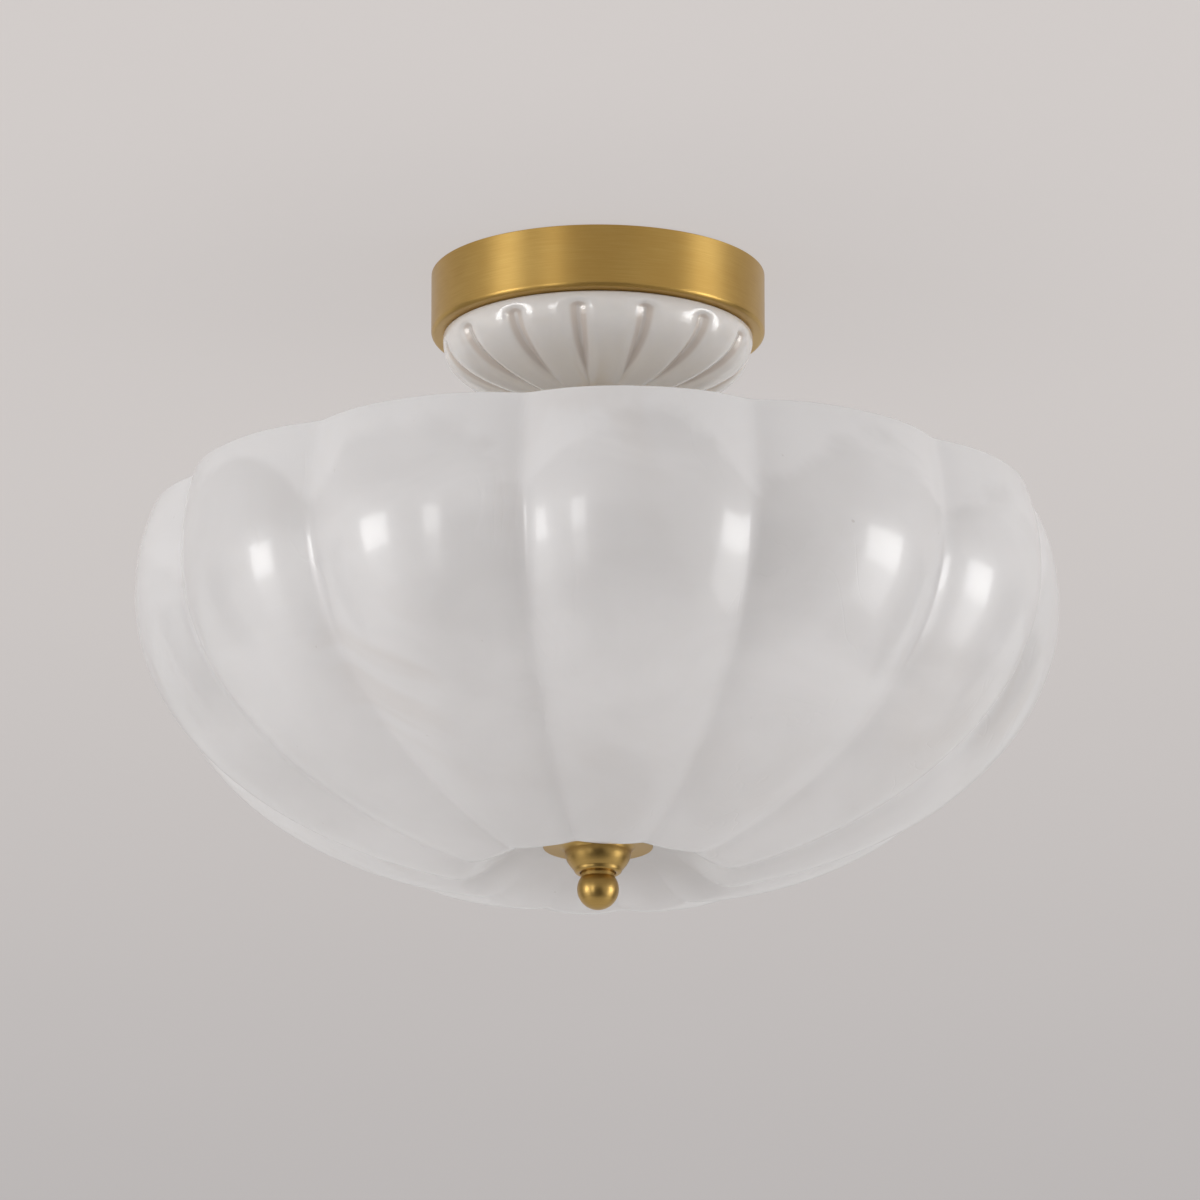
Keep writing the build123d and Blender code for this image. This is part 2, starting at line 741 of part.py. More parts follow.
places = [lamp_place(index) for index in range(lamp_count)]
save("holder_nipples", *[place * nipple for place in places])
save("nipple_nuts", *[place * nipple_nut for place in places])
save("holder_spacers", *[place * spacer for place in places])
save("holder_terminals", *[place * terminal for place in places for terminal in terminals])
for index, place in enumerate(places):
    number = str(index + 1)
    save("holder_body_" + number, place * holder_body)
    save("holder_shell_" + number, place * holder_shell)
    save("holder_contact_" + number, place * holder_contact)
    save("bulb_contact_" + number, place * bulb_contact)
    save("bulb_insulator_" + number, place * bulb_insulator)
    save("bulb_cap_" + number, place * bulb_cap)
    save("bulb_collar_" + number, place * bulb_collar)
    save("bulb_globe_" + number, place * globe)
    save("bulb_source_" + number, place * source)


# Leads: from a row of the terminal block into the stem, down it, and out to a holder's terminal


def lead(points, radii):
    """Round lead along straight runs joined by tangent arcs."""
    path = FilletPolyline(*points, radius=radii)
    start = Plane(origin=path @ 0, z_dir=path % 0)
    solid = sweep(start * Circle(lead_radius), path=path)
    full = path.length * math.pi * lead_radius ** 2
    print("lead", round(path.length, 1), "mm, volume ratio", round(solid.volume / full, 4))
    return solid


leads = []
lead_end = terminal_start + terminal_hole_depth - lead_gap
lead_start = busbar_start + busbar_length / 2
for index, place in enumerate(places):
    facing = lamp_turn + index * 360 / lamp_count
    for side in (-1, 1):
        spot = math.radians(facing + side * lead_spread)
        x = lead_ring_radius * math.cos(spot)
        y = lead_ring_radius * math.sin(spot)
        column = 0 if abs(y) < lead_gap else math.copysign(block_column_pitch, y)
        row_drop = block_level_drop if x < 0 else lower_row_drop
        turn_radius = lead_bend_at_block + lead_ring_radius - x
        exit_drop = lead_turn_drop - turn_radius
        jog_start = lead_bend_at_block + lead_ring_radius + 2 * loose_gap
        jog_end = block_start - loose_gap
        points = [Vector(lead_start, column, -row_drop)]
        if column != 0:
            points += [Vector(jog_end, column, -row_drop), Vector(jog_start, y, -exit_drop)]
            radii = [lead_small_bend, lead_small_bend]
        else:
            radii = []
        points += [Vector(x, y, -exit_drop), Vector(x, y, -lamp_drop)]
        radii += [turn_radius, lead_bend_at_holder]
        for across, along in (
            (lead_half_pitch, chamber_start),
            (terminal_line, terminal_start - lead_gap),
            (terminal_line, lead_end),
        ):
            points.append((place * Pos(side * across, 0, along)).position)
        radii += [lead_small_bend, lead_small_bend]
        leads.append(lead(points, radii))
save("lamp_leads", *leads)
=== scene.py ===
import json
import math

import bpy
import numpy as np
from bpy.props import FloatProperty, FloatVectorProperty, IntProperty, PointerProperty
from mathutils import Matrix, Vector


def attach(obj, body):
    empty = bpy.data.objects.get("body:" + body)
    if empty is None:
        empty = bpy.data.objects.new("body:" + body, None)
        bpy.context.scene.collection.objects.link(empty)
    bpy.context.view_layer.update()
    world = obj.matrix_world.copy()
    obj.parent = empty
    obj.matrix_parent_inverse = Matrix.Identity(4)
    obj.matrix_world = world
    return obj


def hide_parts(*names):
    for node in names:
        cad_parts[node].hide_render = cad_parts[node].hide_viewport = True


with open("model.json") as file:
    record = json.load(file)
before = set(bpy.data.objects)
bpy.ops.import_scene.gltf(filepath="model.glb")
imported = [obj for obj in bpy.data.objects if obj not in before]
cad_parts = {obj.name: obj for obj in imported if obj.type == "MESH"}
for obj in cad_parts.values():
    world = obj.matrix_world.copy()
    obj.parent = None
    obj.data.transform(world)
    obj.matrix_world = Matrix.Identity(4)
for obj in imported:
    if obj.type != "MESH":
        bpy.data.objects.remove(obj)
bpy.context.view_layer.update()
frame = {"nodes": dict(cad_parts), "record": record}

bl_info = {
    "name": "Semi-flush ceiling light",
    "version": (1, 0, 0),
    "blender": (4, 5, 0),
    "location": "View3D > Sidebar > Ceiling light",
    "description": "Lobed glass bowl and fluted glass dome under a satin brass canopy",
    "category": "Object",
}

MM = 0.001
FRAME_PIXELS = 1200
TARGET_PIXEL = (598, 607.3)  # where the camera's target lands in the photograph's frame
SLOPE_STEP = 0.002  # step along a glass's line over which its slope is taken
RIM_POINTS, LIP_POINTS, SEAT_POINTS = 9, 4, 5  # points across a glass's rim, lip and seat

# Metals: name, light, dark, roughness, scale of the tone, scale of the grain
METALS = (
    ("zinc_steel", (0.62, 0.62, 0.60), (0.48, 0.49, 0.49), 0.34, 55, 500),
    ("stem_brass", (0.72, 0.50, 0.20), (0.58, 0.38, 0.13), 0.28, 40, 400),
    ("screw_steel", (0.66, 0.65, 0.62), (0.52, 0.51, 0.48), 0.26, 40, 400),
    ("nickel", (0.70, 0.67, 0.61), (0.58, 0.55, 0.50), 0.22, 40, 400),
)

# Moulded or painted: name, light, dark, roughness, scale of the mottling, of the skin, its height
MOULDED = (
    ("painted_hub", (0.76, 0.755, 0.74), (0.70, 0.695, 0.68), 0.38, 60, 900, 0.00004),
    ("white_nylon", (0.74, 0.73, 0.69), (0.68, 0.67, 0.63), 0.42, 60, 900, 0.00004),
    ("holder_plastic", (0.78, 0.775, 0.75), (0.73, 0.72, 0.69), 0.36, 60, 900, 0.00004),
    ("opal_globe", (0.86, 0.85, 0.83), (0.83, 0.82, 0.80), 0.16, 30, 600, 0.00001),
    ("bulb_plastic", (0.80, 0.80, 0.785), (0.76, 0.755, 0.74), 0.35, 60, 900, 0.00004),
    ("dark_insulator", (0.035, 0.034, 0.033), (0.02, 0.02, 0.02), 0.3, 60, 900, 0.00004),
    ("source_white", (0.80, 0.76, 0.60), (0.74, 0.70, 0.54), 0.5, 60, 900, 0.00004),
    ("grey_felt", (0.24, 0.24, 0.235), (0.17, 0.17, 0.165), 0.85, 300, 2500, 0.0003),
    ("clear_rubber", (0.66, 0.655, 0.63), (0.60, 0.595, 0.57), 0.30, 60, 900, 0.00004),
    ("lead_sleeve", (0.75, 0.74, 0.71), (0.68, 0.67, 0.64), 0.34, 60, 900, 0.00004),
)

# Soft lights, in degrees from the camera's side towards +X and in metres: name, azimuth, width,
# height, top, distance, radiance. Reflections don't show those at the back.
SOFT_LIGHTS = (
    ("window_left_near", -30, 0.70, 0.9, -0.06, 3.5, 4.5),
    ("window_left_near_foot", -30, 0.70, 1.3, -0.96, 3.5, 1.2),
    ("window_left_far", -64, 1.15, 0.9, -0.06, 3.5, 6.8),
    ("window_left_far_foot", -64, 1.20, 1.3, -0.96, 3.5, 0.9),
    ("window_right", 78, 1.5, 0.9, -0.06, 3.5, 6.0),
    ("window_right_foot", 78, 1.5, 1.3, -0.96, 3.5, 2.0),
    ("soft_left_back", -115, 1.4, 2.0, -0.1, 3.0, 1.0),
    ("soft_right_back", 118, 1.2, 2.0, -0.1, 3.0, 0.8),
)

# Upright dark cloths: azimuth, half width, distance
UPRIGHT_FLAGS = ((-106, 0.55, 4.0), (115, 0.8, 4.0))


# Properties: what a user would change


def length(label, description, millimetres):
    """A length property, given in millimetres and kept in metres."""
    return FloatProperty(
        name=label, description=description, default=millimetres * MM, unit="LENGTH", precision=4
    )


def number(label, description, value):
    """A plain number property."""
    return FloatProperty(name=label, description=description, default=value)


def whole(label, description, value):
    """A whole number property, of 3 at least."""
    return IntProperty(name=label, description=description, default=value, min=3)


def colour(label, description, value):
    """A colour property in linear light."""
    return FloatVectorProperty(
        name=label, description=description, default=value, size=3, subtype="COLOR", min=0, max=1
    )


class BowlSizes(bpy.types.PropertyGroup):
    """Sizes of the large lobed bowl; a drop is measured down from the ceiling."""

    radius: length("Radius", "Radius of the crests at the waist", 199.9)
    rim_drop: length("Rim drop", "Drop of the rim", 110)
    waist_drop: length("Waist drop", "Drop of the widest place", 148)
    depth: length("Depth", "Depth of the round part under the waist", 129)
    rim_inset: length("Rim inset", "How far the rim leans inwards", 8)
    rim_curve: number("Rim curve", "Power of the curve from the waist to the rim", 2.2)
    wall: length("Wall", "Thickness of the glass", 4.5)
    lobes: whole("Lobes", "Lobes round the bowl", 12)
    turn: number("Turn", "Angle of the first groove in degrees", -99.5)
    lobe_depth: length("Groove depth", "Depth of the grooves at the waist", 10.5)
    rim_lobe_depth: length("Rim groove depth", "Depth of the grooves at the rim", 7.5)
    lobe_fade: number("Groove fade", "Power by which the grooves get shallower downwards", 1.6)
    roundness: number("Roundness", "How full the lobes are between the grooves", 2.5)
    softness: number("Softness", "Share of a lobe over which a groove is rounded", 0.1)
    dimple_height: length("Dimple height", "Rise of the seat over the lowest ring", 21.7)
    dimple_radius: length("Dimple radius", "Where the dimple starts", 62)
    seat_radius: length("Seat radius", "Radius of the flat seat", 25)
    hole_radius: length("Hole radius", "Radius of the hole for the rod", 6)
    crown: length("Rim crown", "Height of the rounded rim", 1.2)


class DomeSizes(bpy.types.PropertyGroup):
    """Sizes of the small fluted dome under the canopy."""

    radius: length("Radius", "Radius at the lip", 67.3)
    top_drop: length("Top drop", "Drop of the lip's top", 28.3)
    height: length("Height", "Height of the glass", 30.7)
    lip: length("Lip", "Height of the smooth lip", 2)
    crown: length("Lip crown", "Height of the lip's rounded top", 0.5)
    wall: length("Wall", "Thickness of the glass", 3)
    lobes: whole("Flutes", "Flutes round the dome", 14)
    turn: number("Turn", "Angle of the first groove in degrees", -97.5)
    lobe_depth: length("Groove depth", "Depth of the grooves", 2.6)
    fullness: number("Fullness", "Power of the rounded outline", 2.15)
    groove_start: number("Groove start", "Share of the line over which a groove sets in", 0.18)
    groove_end: number("Groove end", "Share of the line over which a groove dies out", 1.2)
    roundness: number("Roundness", "How full the flutes are between the grooves", 4)
    softness: number("Softness", "Share of a flute over which a groove is rounded", 0.1)
    seat_radius: length("Seat radius", "Radius of the flat seat", 12)
    hole_radius: length("Hole radius", "Radius of the hole for the stem", 5.5)


class BrassSizes(bpy.types.PropertyGroup):
    """Sizes of the turned brass: canopy, cup, ball nut and slip collar."""

    canopy_radius: length("Canopy radius", "Outer radius of the canopy", 72.5)
    canopy_height: length("Canopy height", "Height of the canopy", 27.5)
    canopy_wall: length("Canopy wall", "Thickness of the spun sheet", 1)
    canopy_corner: length("Canopy corner", "Radius of the canopy's lower corner", 1.8)
    canopy_hole: length("Canopy hole", "Radius of the hole for the stem", 5.5)
    cup_radius: length("Cup radius", "Radius of the cup's flange", 23.6)
    cup_drop: length("Cup drop", "Drop of the cup's top", 255.8)
    cup_height: length("Cup height", "Height of the cup", 13)
    flange: length("Flange", "Thickness of the flange", 1.5)
    bell_radius: length("Bell radius", "Radius of the bell under the flange", 14.2)
    mouth_radius: length("Mouth radius", "Radius of the bell's foot", 10.3)
    flare: length("Flare", "Radius of the flare from the bell to the flange", 2.4)
    bulge: length("Bulge", "How far the bell swells out", 0.9)
    cup_edge: length("Cup edge", "Radius of the bell's lower edge", 1.7)
    cup_bore: length("Cup bore", "Radius of the recess for the ball's neck", 7.7)
    cup_bore_depth: length("Recess top", "Depth of the recess's roof under the cup's top", 6.2)
    rod_hole: length("Rod hole", "Radius of the hole for the rod", 4.1)
    ball_radius: length("Ball radius", "Radius of the ball nut", 8.98)
    ball_drop: length("Ball drop", "Drop of the ball's centre", 275.603)
    neck_radius: length("Neck radius", "Radius of the ball's neck", 7.4)
    neck_drop: length("Neck drop", "Drop of the neck's top", 262.1)
    ball_bore: length("Ball bore", "Radius of the ball's threaded bore", 4.06)
    ball_bore_drop: length("Bore drop", "Drop of the bore's end", 277.6)
    collar_radius: length("Collar radius", "Radius of the slip collar", 11)
    collar_drop: length("Collar drop", "Drop of the slip collar's top", 60.5)
    collar_height: length("Collar height", "Height of the slip collar", 12)
    collar_hole: length("Collar hole", "Radius of the slip collar's hole", 5.05)


class LampSizes(bpy.types.PropertyGroup):
    """Sizes of the bulbs and of the threaded rod; a start or a centre is measured out from the
    stem's axis."""

    lamps: whole("Lamps", "Bulbs round the stem", 3)
    turn: number("Turn", "Angle of the first bulb in degrees", 90)
    drop: length("Lamp drop", "Drop of the bulbs' axes", 142)
    cap_radius: length("Cap radius", "Radius of the bulb's screw cap", 6.9)
    cap_start: length("Cap start", "Where the screw cap starts", 58)
    cap_length: length("Cap length", "Length of the screw cap", 19.5)
    cap_wall: length("Cap wall", "Thickness of the cap's sheet", 0.5)
    cap_pitch: length("Cap pitch", "Pitch of the cap's thread", 2.82)
    cap_thread: length("Cap thread", "Depth of the cap's thread", 0.55)
    globe_radius: length("Globe radius", "Radius of the bulb's globe", 22.5)
    globe_centre: length("Globe centre", "Where the globe's centre lies", 110)
    globe_mouth: length("Globe mouth", "Radius of the globe at its collar", 15)
    globe_wall: length("Globe wall", "Thickness of the globe", 1.2)
    rod_radius: length("Rod radius", "Radius of the lower rod", 4)
    rod_drop: length("Rod drop", "Drop of the rod's top", 166.1)
    rod_length: length("Rod length", "Length of the lower rod", 111)
    rod_pitch: length("Rod pitch", "Pitch of the rod's thread", 1.25)
    rod_thread: length("Rod thread", "Depth of the rod's thread", 0.6)


class FinishColours(bpy.types.PropertyGroup):
    """Colours of the finishes, in linear light."""

    brass: colour("Brass", "Satin brass", (0.62, 0.415, 0.13))
    brass_deep: colour("Deep brass", "Satin brass where it is darker", (0.54, 0.34, 0.095))
    brass_turned: colour("Turned brass", "Brass of the cup, ball and collar", (0.53, 0.35, 0.115))
    brass_turned_deep: colour("Deep turned brass", "Where it is darker", (0.465, 0.30, 0.095))
    glass: colour("Bowl glass", "Body of the marbled glass", (0.64, 0.63, 0.632))
    glass_cloud: colour("Clouds", "Whiter clouds in the bowl", (0.735, 0.725, 0.73))
    # painted reflection: the paler band under the bowl's rim stands in for the ceiling reflected in
    # the lobes' shoulders
    glass_rim_painted_reflection: colour("Rim", "Paler band under the bowl's rim", (0.76, 0.75, 0.755))
    glass_vein: colour("Veins", "Faint warm streaks in the bowl", (0.54, 0.49, 0.45))
    glass_speck: colour("Specks", "Small dark specks in the bowl", (0.38, 0.34, 0.31))
    dome: colour("Dome glass", "Body of the fluted glass", (0.94, 0.855, 0.79))
    # painted refraction: the warm groove colour stands in for light bent through the grooves
    dome_groove_painted_refraction: colour("Dome grooves", "Grooves of the fluted glass", (0.72, 0.60, 0.52))
    # painted light: a warmer tone towards the stem stands in for warm light in the dome's lower
    # glass; the glass is not thicker there
    dome_foot_painted_light: colour("Dome foot", "Thicker dome glass towards the stem", (0.98, 0.85, 0.735))


class StageSettings(bpy.types.PropertyGroup):
    """The camera and the studio round the lamp."""

    distance: length("Camera distance", "Distance of the camera from the lamp", 4500)
    pitch: number("Pitch", "How far the camera looks up, in degrees", 16.1)
    target_drop: length("Target drop", "Drop of the point that the camera looks at", 150)
    pixels_per_metre: number("Scale", "Pixels per metre at the lamp on a 1200 pixel frame", 2318)
    ceiling_half: length("Ceiling size", "Half of the ceiling's side", 3000)
    ceiling_lift: length("Ceiling lift", "Height of the ceiling over the lamp's top", 0.6)
    floor_half: length("Floor size", "Half of the floor's side", 9000)
    floor_drop: length("Floor drop", "How far the floor lies below the ceiling", 2400)
    ceiling: colour("Ceiling", "Colour of the ceiling", (0.685, 0.648, 0.632))
    # painted shade: the ceiling darker beyond the lamp stands in for the light's falloff
    ceiling_far_painted_shade: colour("Far ceiling", "Colour of the ceiling beyond the lamp", (0.54, 0.515, 0.51))
    floor: colour("Floor", "Colour of the floor", (0.68, 0.665, 0.655))
    flag: colour("Flag", "Colour of the dark cloth behind the camera", (0.10, 0.095, 0.09))
    glow: number("Background glow", "Share of the background's colour that takes no shadow", 0.78)
    room: colour("Room", "Colour of the even light of the room", (1.0, 0.98, 0.965))
    world: number("Room light", "Strength of the even light of the room", 0.68)


# Surfaces


def put_mesh(name, shape, body, finish, replaces=(), attributes=None):
    """Make one object from corners, quads and triangles, with its faces turned outwards: the
    volume under its quads, a sum of triple products, says which way they face."""
    verts, quads, triangles = shape
    a, b, c, d = (verts[quads[:, k]] for k in range(4))
    if (np.cross(b - a, c - a) * a).sum() + (np.cross(c - a, d - a) * a).sum() < 0:
        quads, triangles = quads[:, ::-1], triangles[:, ::-1]
    mesh = bpy.data.meshes.new(name)
    mesh.from_pydata(verts.tolist(), [], quads.tolist() + triangles.tolist())
    mesh.polygons.foreach_set("use_smooth", np.ones(len(mesh.polygons), bool))
    for key, values in (attributes or {}).items():
        layer = mesh.attributes.new(key, "FLOAT", "POINT")
        layer.data.foreach_set("value", np.ascontiguousarray(values, np.float32).ravel())
    mesh.materials.append(finish)
    mesh.update()
    obj = bpy.data.objects.new(name, mesh)
    bpy.context.scene.collection.objects.link(obj)
    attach(obj, body)
    if replaces:
        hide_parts(*replaces)
    return obj


def ring_grid(rows, columns, close_rows=True):
    """Quads of a grid whose columns close on themselves, and its rows too unless told not to."""
    starts = np.arange(rows if close_rows else rows - 1)
    row, column = np.meshgrid(starts, np.arange(columns), indexing="ij")
    here, below = row * columns, (row + 1) % rows * columns
    beside = (column + 1) % columns
    corners = [here + column, here + beside, below + beside, below + column]
    return np.stack(corners, -1).reshape(-1, 4)


def rounded(corners, radii, steps=5):
    """Outline of a section with rounded corners. The arc at a corner runs between the points
    where a circle of that radius touches both sides; the directions from its centre turn evenly
    between them."""
    p = np.asarray(corners, float)
    rho = np.broadcast_to(np.asarray(radii, float), len(p))[:, None]
    to_last = np.roll(p, 1, 0) - p
    to_next = np.roll(p, -1, 0) - p
    to_last /= np.linalg.norm(to_last, axis=1, keepdims=True)
    to_next /= np.linalg.norm(to_next, axis=1, keepdims=True)
    half = np.arccos(np.clip((to_last * to_next).sum(1, keepdims=True), -1, 1)) / 2
    middle = to_last + to_next
    middle /= np.linalg.norm(middle, axis=1, keepdims=True)
    centre = p + middle * rho / np.sin(half)
    start = (p + to_last * rho / np.tan(half) - centre) / rho
    end = (p + to_next * rho / np.tan(half) - centre) / rho
    sweep = np.pi - 2 * half
    s = np.linspace(0, 1, steps)[None, :, None]
    a = np.sin((1 - s) * sweep[:, None]) / np.sin(sweep)[:, None]
    b = np.sin(s * sweep[:, None]) / np.sin(sweep)[:, None]
    return (centre[:, None] + rho[:, None] * (a * start[:, None] + b * end[:, None])).reshape(-1, 2)


def guarded(outline, closed=True, reach=0.25 * MM):
    """An outline with two more points on each long side, close to its ends, so that a flat side
    stays flat under smooth shading."""
    following = np.roll(outline, -1, 0)
    side = following - outline
    size = np.linalg.norm(side, axis=1, keepdims=True)
    step = side / np.maximum(size, 1e-9) * reach
    long = size[:, 0] > 4 * reach
    if not closed:
        long[-1] = False
    points = np.stack([outline, outline + step, following - step], 1)
    return points[np.stack([np.ones_like(long), long, long], 1)]


def turned(outline, steps, screw=None, along=None):
    """Section carried round an axis: each (radius, height) point goes round at even angles. With
    a screw of (pitch, depth, share), the radius is less by the depth times each point's share
    times half of one minus the cosine of the angle that winds once round for every pitch of
    height. A section that starts and ends on the axis gets a pole at each end, and any other is
    closed on itself. The axis is the stem's, or lies level, along an angle and below the ceiling
    by a drop."""
    poles = abs(outline[0, 0]) + abs(outline[-1, 0]) < 1e-9
    rings = outline[1:-1] if poles else outline
    angle = np.linspace(0, 2 * np.pi, steps, endpoint=False)
    r, h = rings[:, :1] + 0 * angle, rings[:, 1:] + 0 * angle
    if screw:
        pitch, depth, share = screw
        r = r - depth * share[:, None] * (1 - np.cos(2 * np.pi * h / pitch - angle)) / 2
    verts = np.stack([r * np.cos(angle), r * np.sin(angle), h], -1).reshape(-1, 3)
    quads = ring_grid(len(rings), steps, close_rows=not poles)
    triangles = np.zeros((0, 3), int)
    if poles:
        k = np.arange(steps)
        following, last = (k + 1) % steps, (len(rings) - 1) * steps
        first_pole, last_pole = np.full(steps, len(verts)), np.full(steps, len(verts) + 1)
        start = np.stack([first_pole, following, k], 1)
        end = np.stack([last_pole, last + k, last + following], 1)
        triangles = np.concatenate([start, end])
        ends = [(0, 0, outline[0, 1]), (0, 0, outline[-1, 1])]
        verts = np.concatenate([verts, ends])
    if along:
        a, drop = along
        x, y, z = verts.T
        cos, sin = np.cos(a), np.sin(a)
        verts = np.stack([z * cos - x * sin, z * sin + x * cos, y - drop], 1)
    return verts, quads, triangles


def arc(centre, radius, start, end, steps):
    """Points of an arc about a centre, at even angles in degrees from the outward direction."""
    a = np.radians(np.linspace(start, end, steps))
    return np.stack([centre[0] + radius * np.cos(a), centre[1] + radius * np.sin(a)], 1)


def ease(x):
    """Smooth step: x times x times (3 less 2 x), held between 0 and 1."""
    x = np.clip(x, 0, 1)
    return x * x * (3 - 2 * x)


def groove_share(u, roundness, softness):
    """How deep in a groove a place is, across a lobe from u = -1 to 1: 0 on the crest and 1 in
    the grooves. It is one less the distance from the nearest groove, to the power of the
    roundness, and a hyperbola rounds that distance off at the groove's bottom."""
    v = (np.hypot(1 - np.abs(u), softness) - softness) / (np.hypot(1, softness) - softness)
    return (1 - v) ** roundness


def lobed_glass(s, line, groove, level_to, lip, per_lobe, rows):
    """Glass shell on a grid of angle and distance down the line. The crest's line is moved
    inwards by the groove's depth times the groove's share across a lobe: level as far as
    level_to, and along its own normal from there. The inner side is moved inwards by the wall as
    well. The two sides are joined round the rim, whose top is a parabola, by an upright lip
    under it, and at the hole by a flat seat."""
    place = (np.arange(per_lobe) + 0.5) / per_lobe * 2 - 1
    u = np.tile(np.sin(np.pi / 2 * place), s.lobes)
    lobe = np.repeat(np.arange(s.lobes), per_lobe)
    angle = np.radians(s.turn + (u + 1) * 180 / s.lobes + lobe * 360 / s.lobes)
    share = groove_share(u, s.roundness, s.softness)
    t = np.linspace(0, 2, rows)
    r, drop = line(t)
    r0, drop0 = line(np.maximum(t - SLOPE_STEP, 0))
    r1, drop1 = line(np.minimum(t + SLOPE_STEP, 2))
    size = np.hypot(r1 - r0, drop1 - drop0)
    out = np.where(t <= level_to, 1.0, (drop1 - drop0) / size)
    down = np.where(t <= level_to, 0.0, (r0 - r1) / size)

    def side(sink):
        inward = groove(t)[:, None] * share[None, :] + sink
        return r[:, None] - out[:, None] * inward, drop[:, None] - down[:, None] * inward

    outer_r, outer_drop = side(0)
    inner_r, inner_drop = side(s.wall)
    across = np.linspace(0, 1, RIM_POINTS)[1:-1, None]
    rim_r = inner_r[0] + (outer_r[0] - inner_r[0]) * across
    rim_drop = inner_drop[0] - lip - s.crown * (1 - (2 * across - 1) ** 2) + 0 * rim_r
    rise = np.linspace(1, 0, LIP_POINTS)[:-1, None] if lip else np.zeros((0, 1))
    lip_r, lip_drop = outer_r[0] + 0 * rise, outer_drop[0] - lip * rise
    back_r, back_drop = inner_r[0] + 0 * rise, inner_drop[0] - lip * rise[::-1]
    seat = np.linspace(0, 1, SEAT_POINTS)[:, None]
    foot_r = outer_r[-1] + (s.hole_radius - outer_r[-1]) * seat[1:]
    foot_drop = outer_drop[-1] + 0 * foot_r
    top_r = s.hole_radius + (inner_r[-1] - s.hole_radius) * seat[:-1]
    top_drop = inner_drop[-1] + 0 * top_r
    radii = np.concatenate([lip_r, outer_r, foot_r, top_r, inner_r[::-1], back_r, rim_r])
    drops = np.concatenate(
        [lip_drop, outer_drop, foot_drop, top_drop, inner_drop[::-1], back_drop, rim_drop]
    )
    verts = np.stack([radii * np.cos(angle), radii * np.sin(angle), -drops], -1)
    depth = np.zeros(len(radii))
    outer_start = len(rise)
    inner_start = outer_start + rows + 2 * (SEAT_POINTS - 1)
    depth[outer_start : outer_start + rows] = groove(t)
    depth[inner_start : inner_start + rows] = groove(t)[::-1]
    groove_mark = share * (depth / groove(t).max())[:, None]
    shape = verts.reshape(-1, 3), ring_grid(len(radii), len(angle)), np.zeros((0, 3), int)
    return shape, groove_mark, -drops


def bowl_line(s):
    """Line down the bowl's crests. Above the waist the radius shrinks by a power of the rise;
    below it, radius and drop follow a quarter ellipse, and a smooth step lifts the seat in the
    middle. The grooves are deepest at the waist. Above it their depth shrinks by the square of
    the rise; below it, by a power of the radius, and a smooth step ends them in the dimple."""
    seat_angle = math.acos(s.seat_radius / s.radius)
    dimple_width = s.dimple_radius - s.seat_radius

    def line(t):
        rise = np.clip(1 - t, 0, 1)
        angle = np.clip(t - 1, 0, 1) * seat_angle
        upper = s.radius - s.rim_inset * rise**s.rim_curve
        lower = s.radius * np.cos(angle)
        dimple = s.dimple_height * ease((s.dimple_radius - lower) / dimple_width)
        drop = s.waist_drop - (s.waist_drop - s.rim_drop) * rise + s.depth * np.sin(angle) - dimple
        return np.where(t <= 1, upper, lower), drop

    def groove(t):
        r, _ = line(t)
        high = s.lobe_depth - (s.lobe_depth - s.rim_lobe_depth) * np.clip(1 - t, 0, 1) ** 2
        fade = ease((r - s.seat_radius) / dimple_width)
        low = s.lobe_depth * (r / s.radius) ** s.lobe_fade * fade
        return np.where(t <= 1, high, low)

    return line, groove


def dome_line(s):
    """Line down the dome's flutes: a quarter of an oval whose power is its fullness. The grooves
    set in under the lip and die out towards the seat by smooth steps."""
    seat_angle = math.acos((s.seat_radius / s.radius) ** (s.fullness / 2))

    def line(t):
        angle = t / 2 * seat_angle
        fall = (np.sin(angle) / math.sin(seat_angle)) ** (2 / s.fullness)
        r = s.radius * np.cos(angle) ** (2 / s.fullness)
        return r, s.top_drop + s.lip + (s.height - s.lip) * fall

    def groove(t):
        return s.lobe_depth * ease(t / s.groove_start) * ease((2 - t) / s.groove_end)

    return line, groove


# Finishes


class Value:
    """One output socket of a finish, so that sums of sockets and numbers read as Python."""

    def __init__(self, finish, socket):
        self.finish = finish
        self.socket = socket

    def _maths(self, operation, first, second):
        return self.finish.node("ShaderNodeMath", {"operation": operation}, {0: first, 1: second})

    def __add__(self, other):
        return self._maths("ADD", self, other)

    def __radd__(self, other):
        return self._maths("ADD", other, self)

    def __sub__(self, other):
        return self._maths("SUBTRACT", self, other)

    def __rsub__(self, other):
        return self._maths("SUBTRACT", other, self)

    def __mul__(self, other):
        return self._maths("MULTIPLY", self, other)

    def __rmul__(self, other):
        return self._maths("MULTIPLY", other, self)

    def __abs__(self):
        return self._maths("ABSOLUTE", self, 0.0)


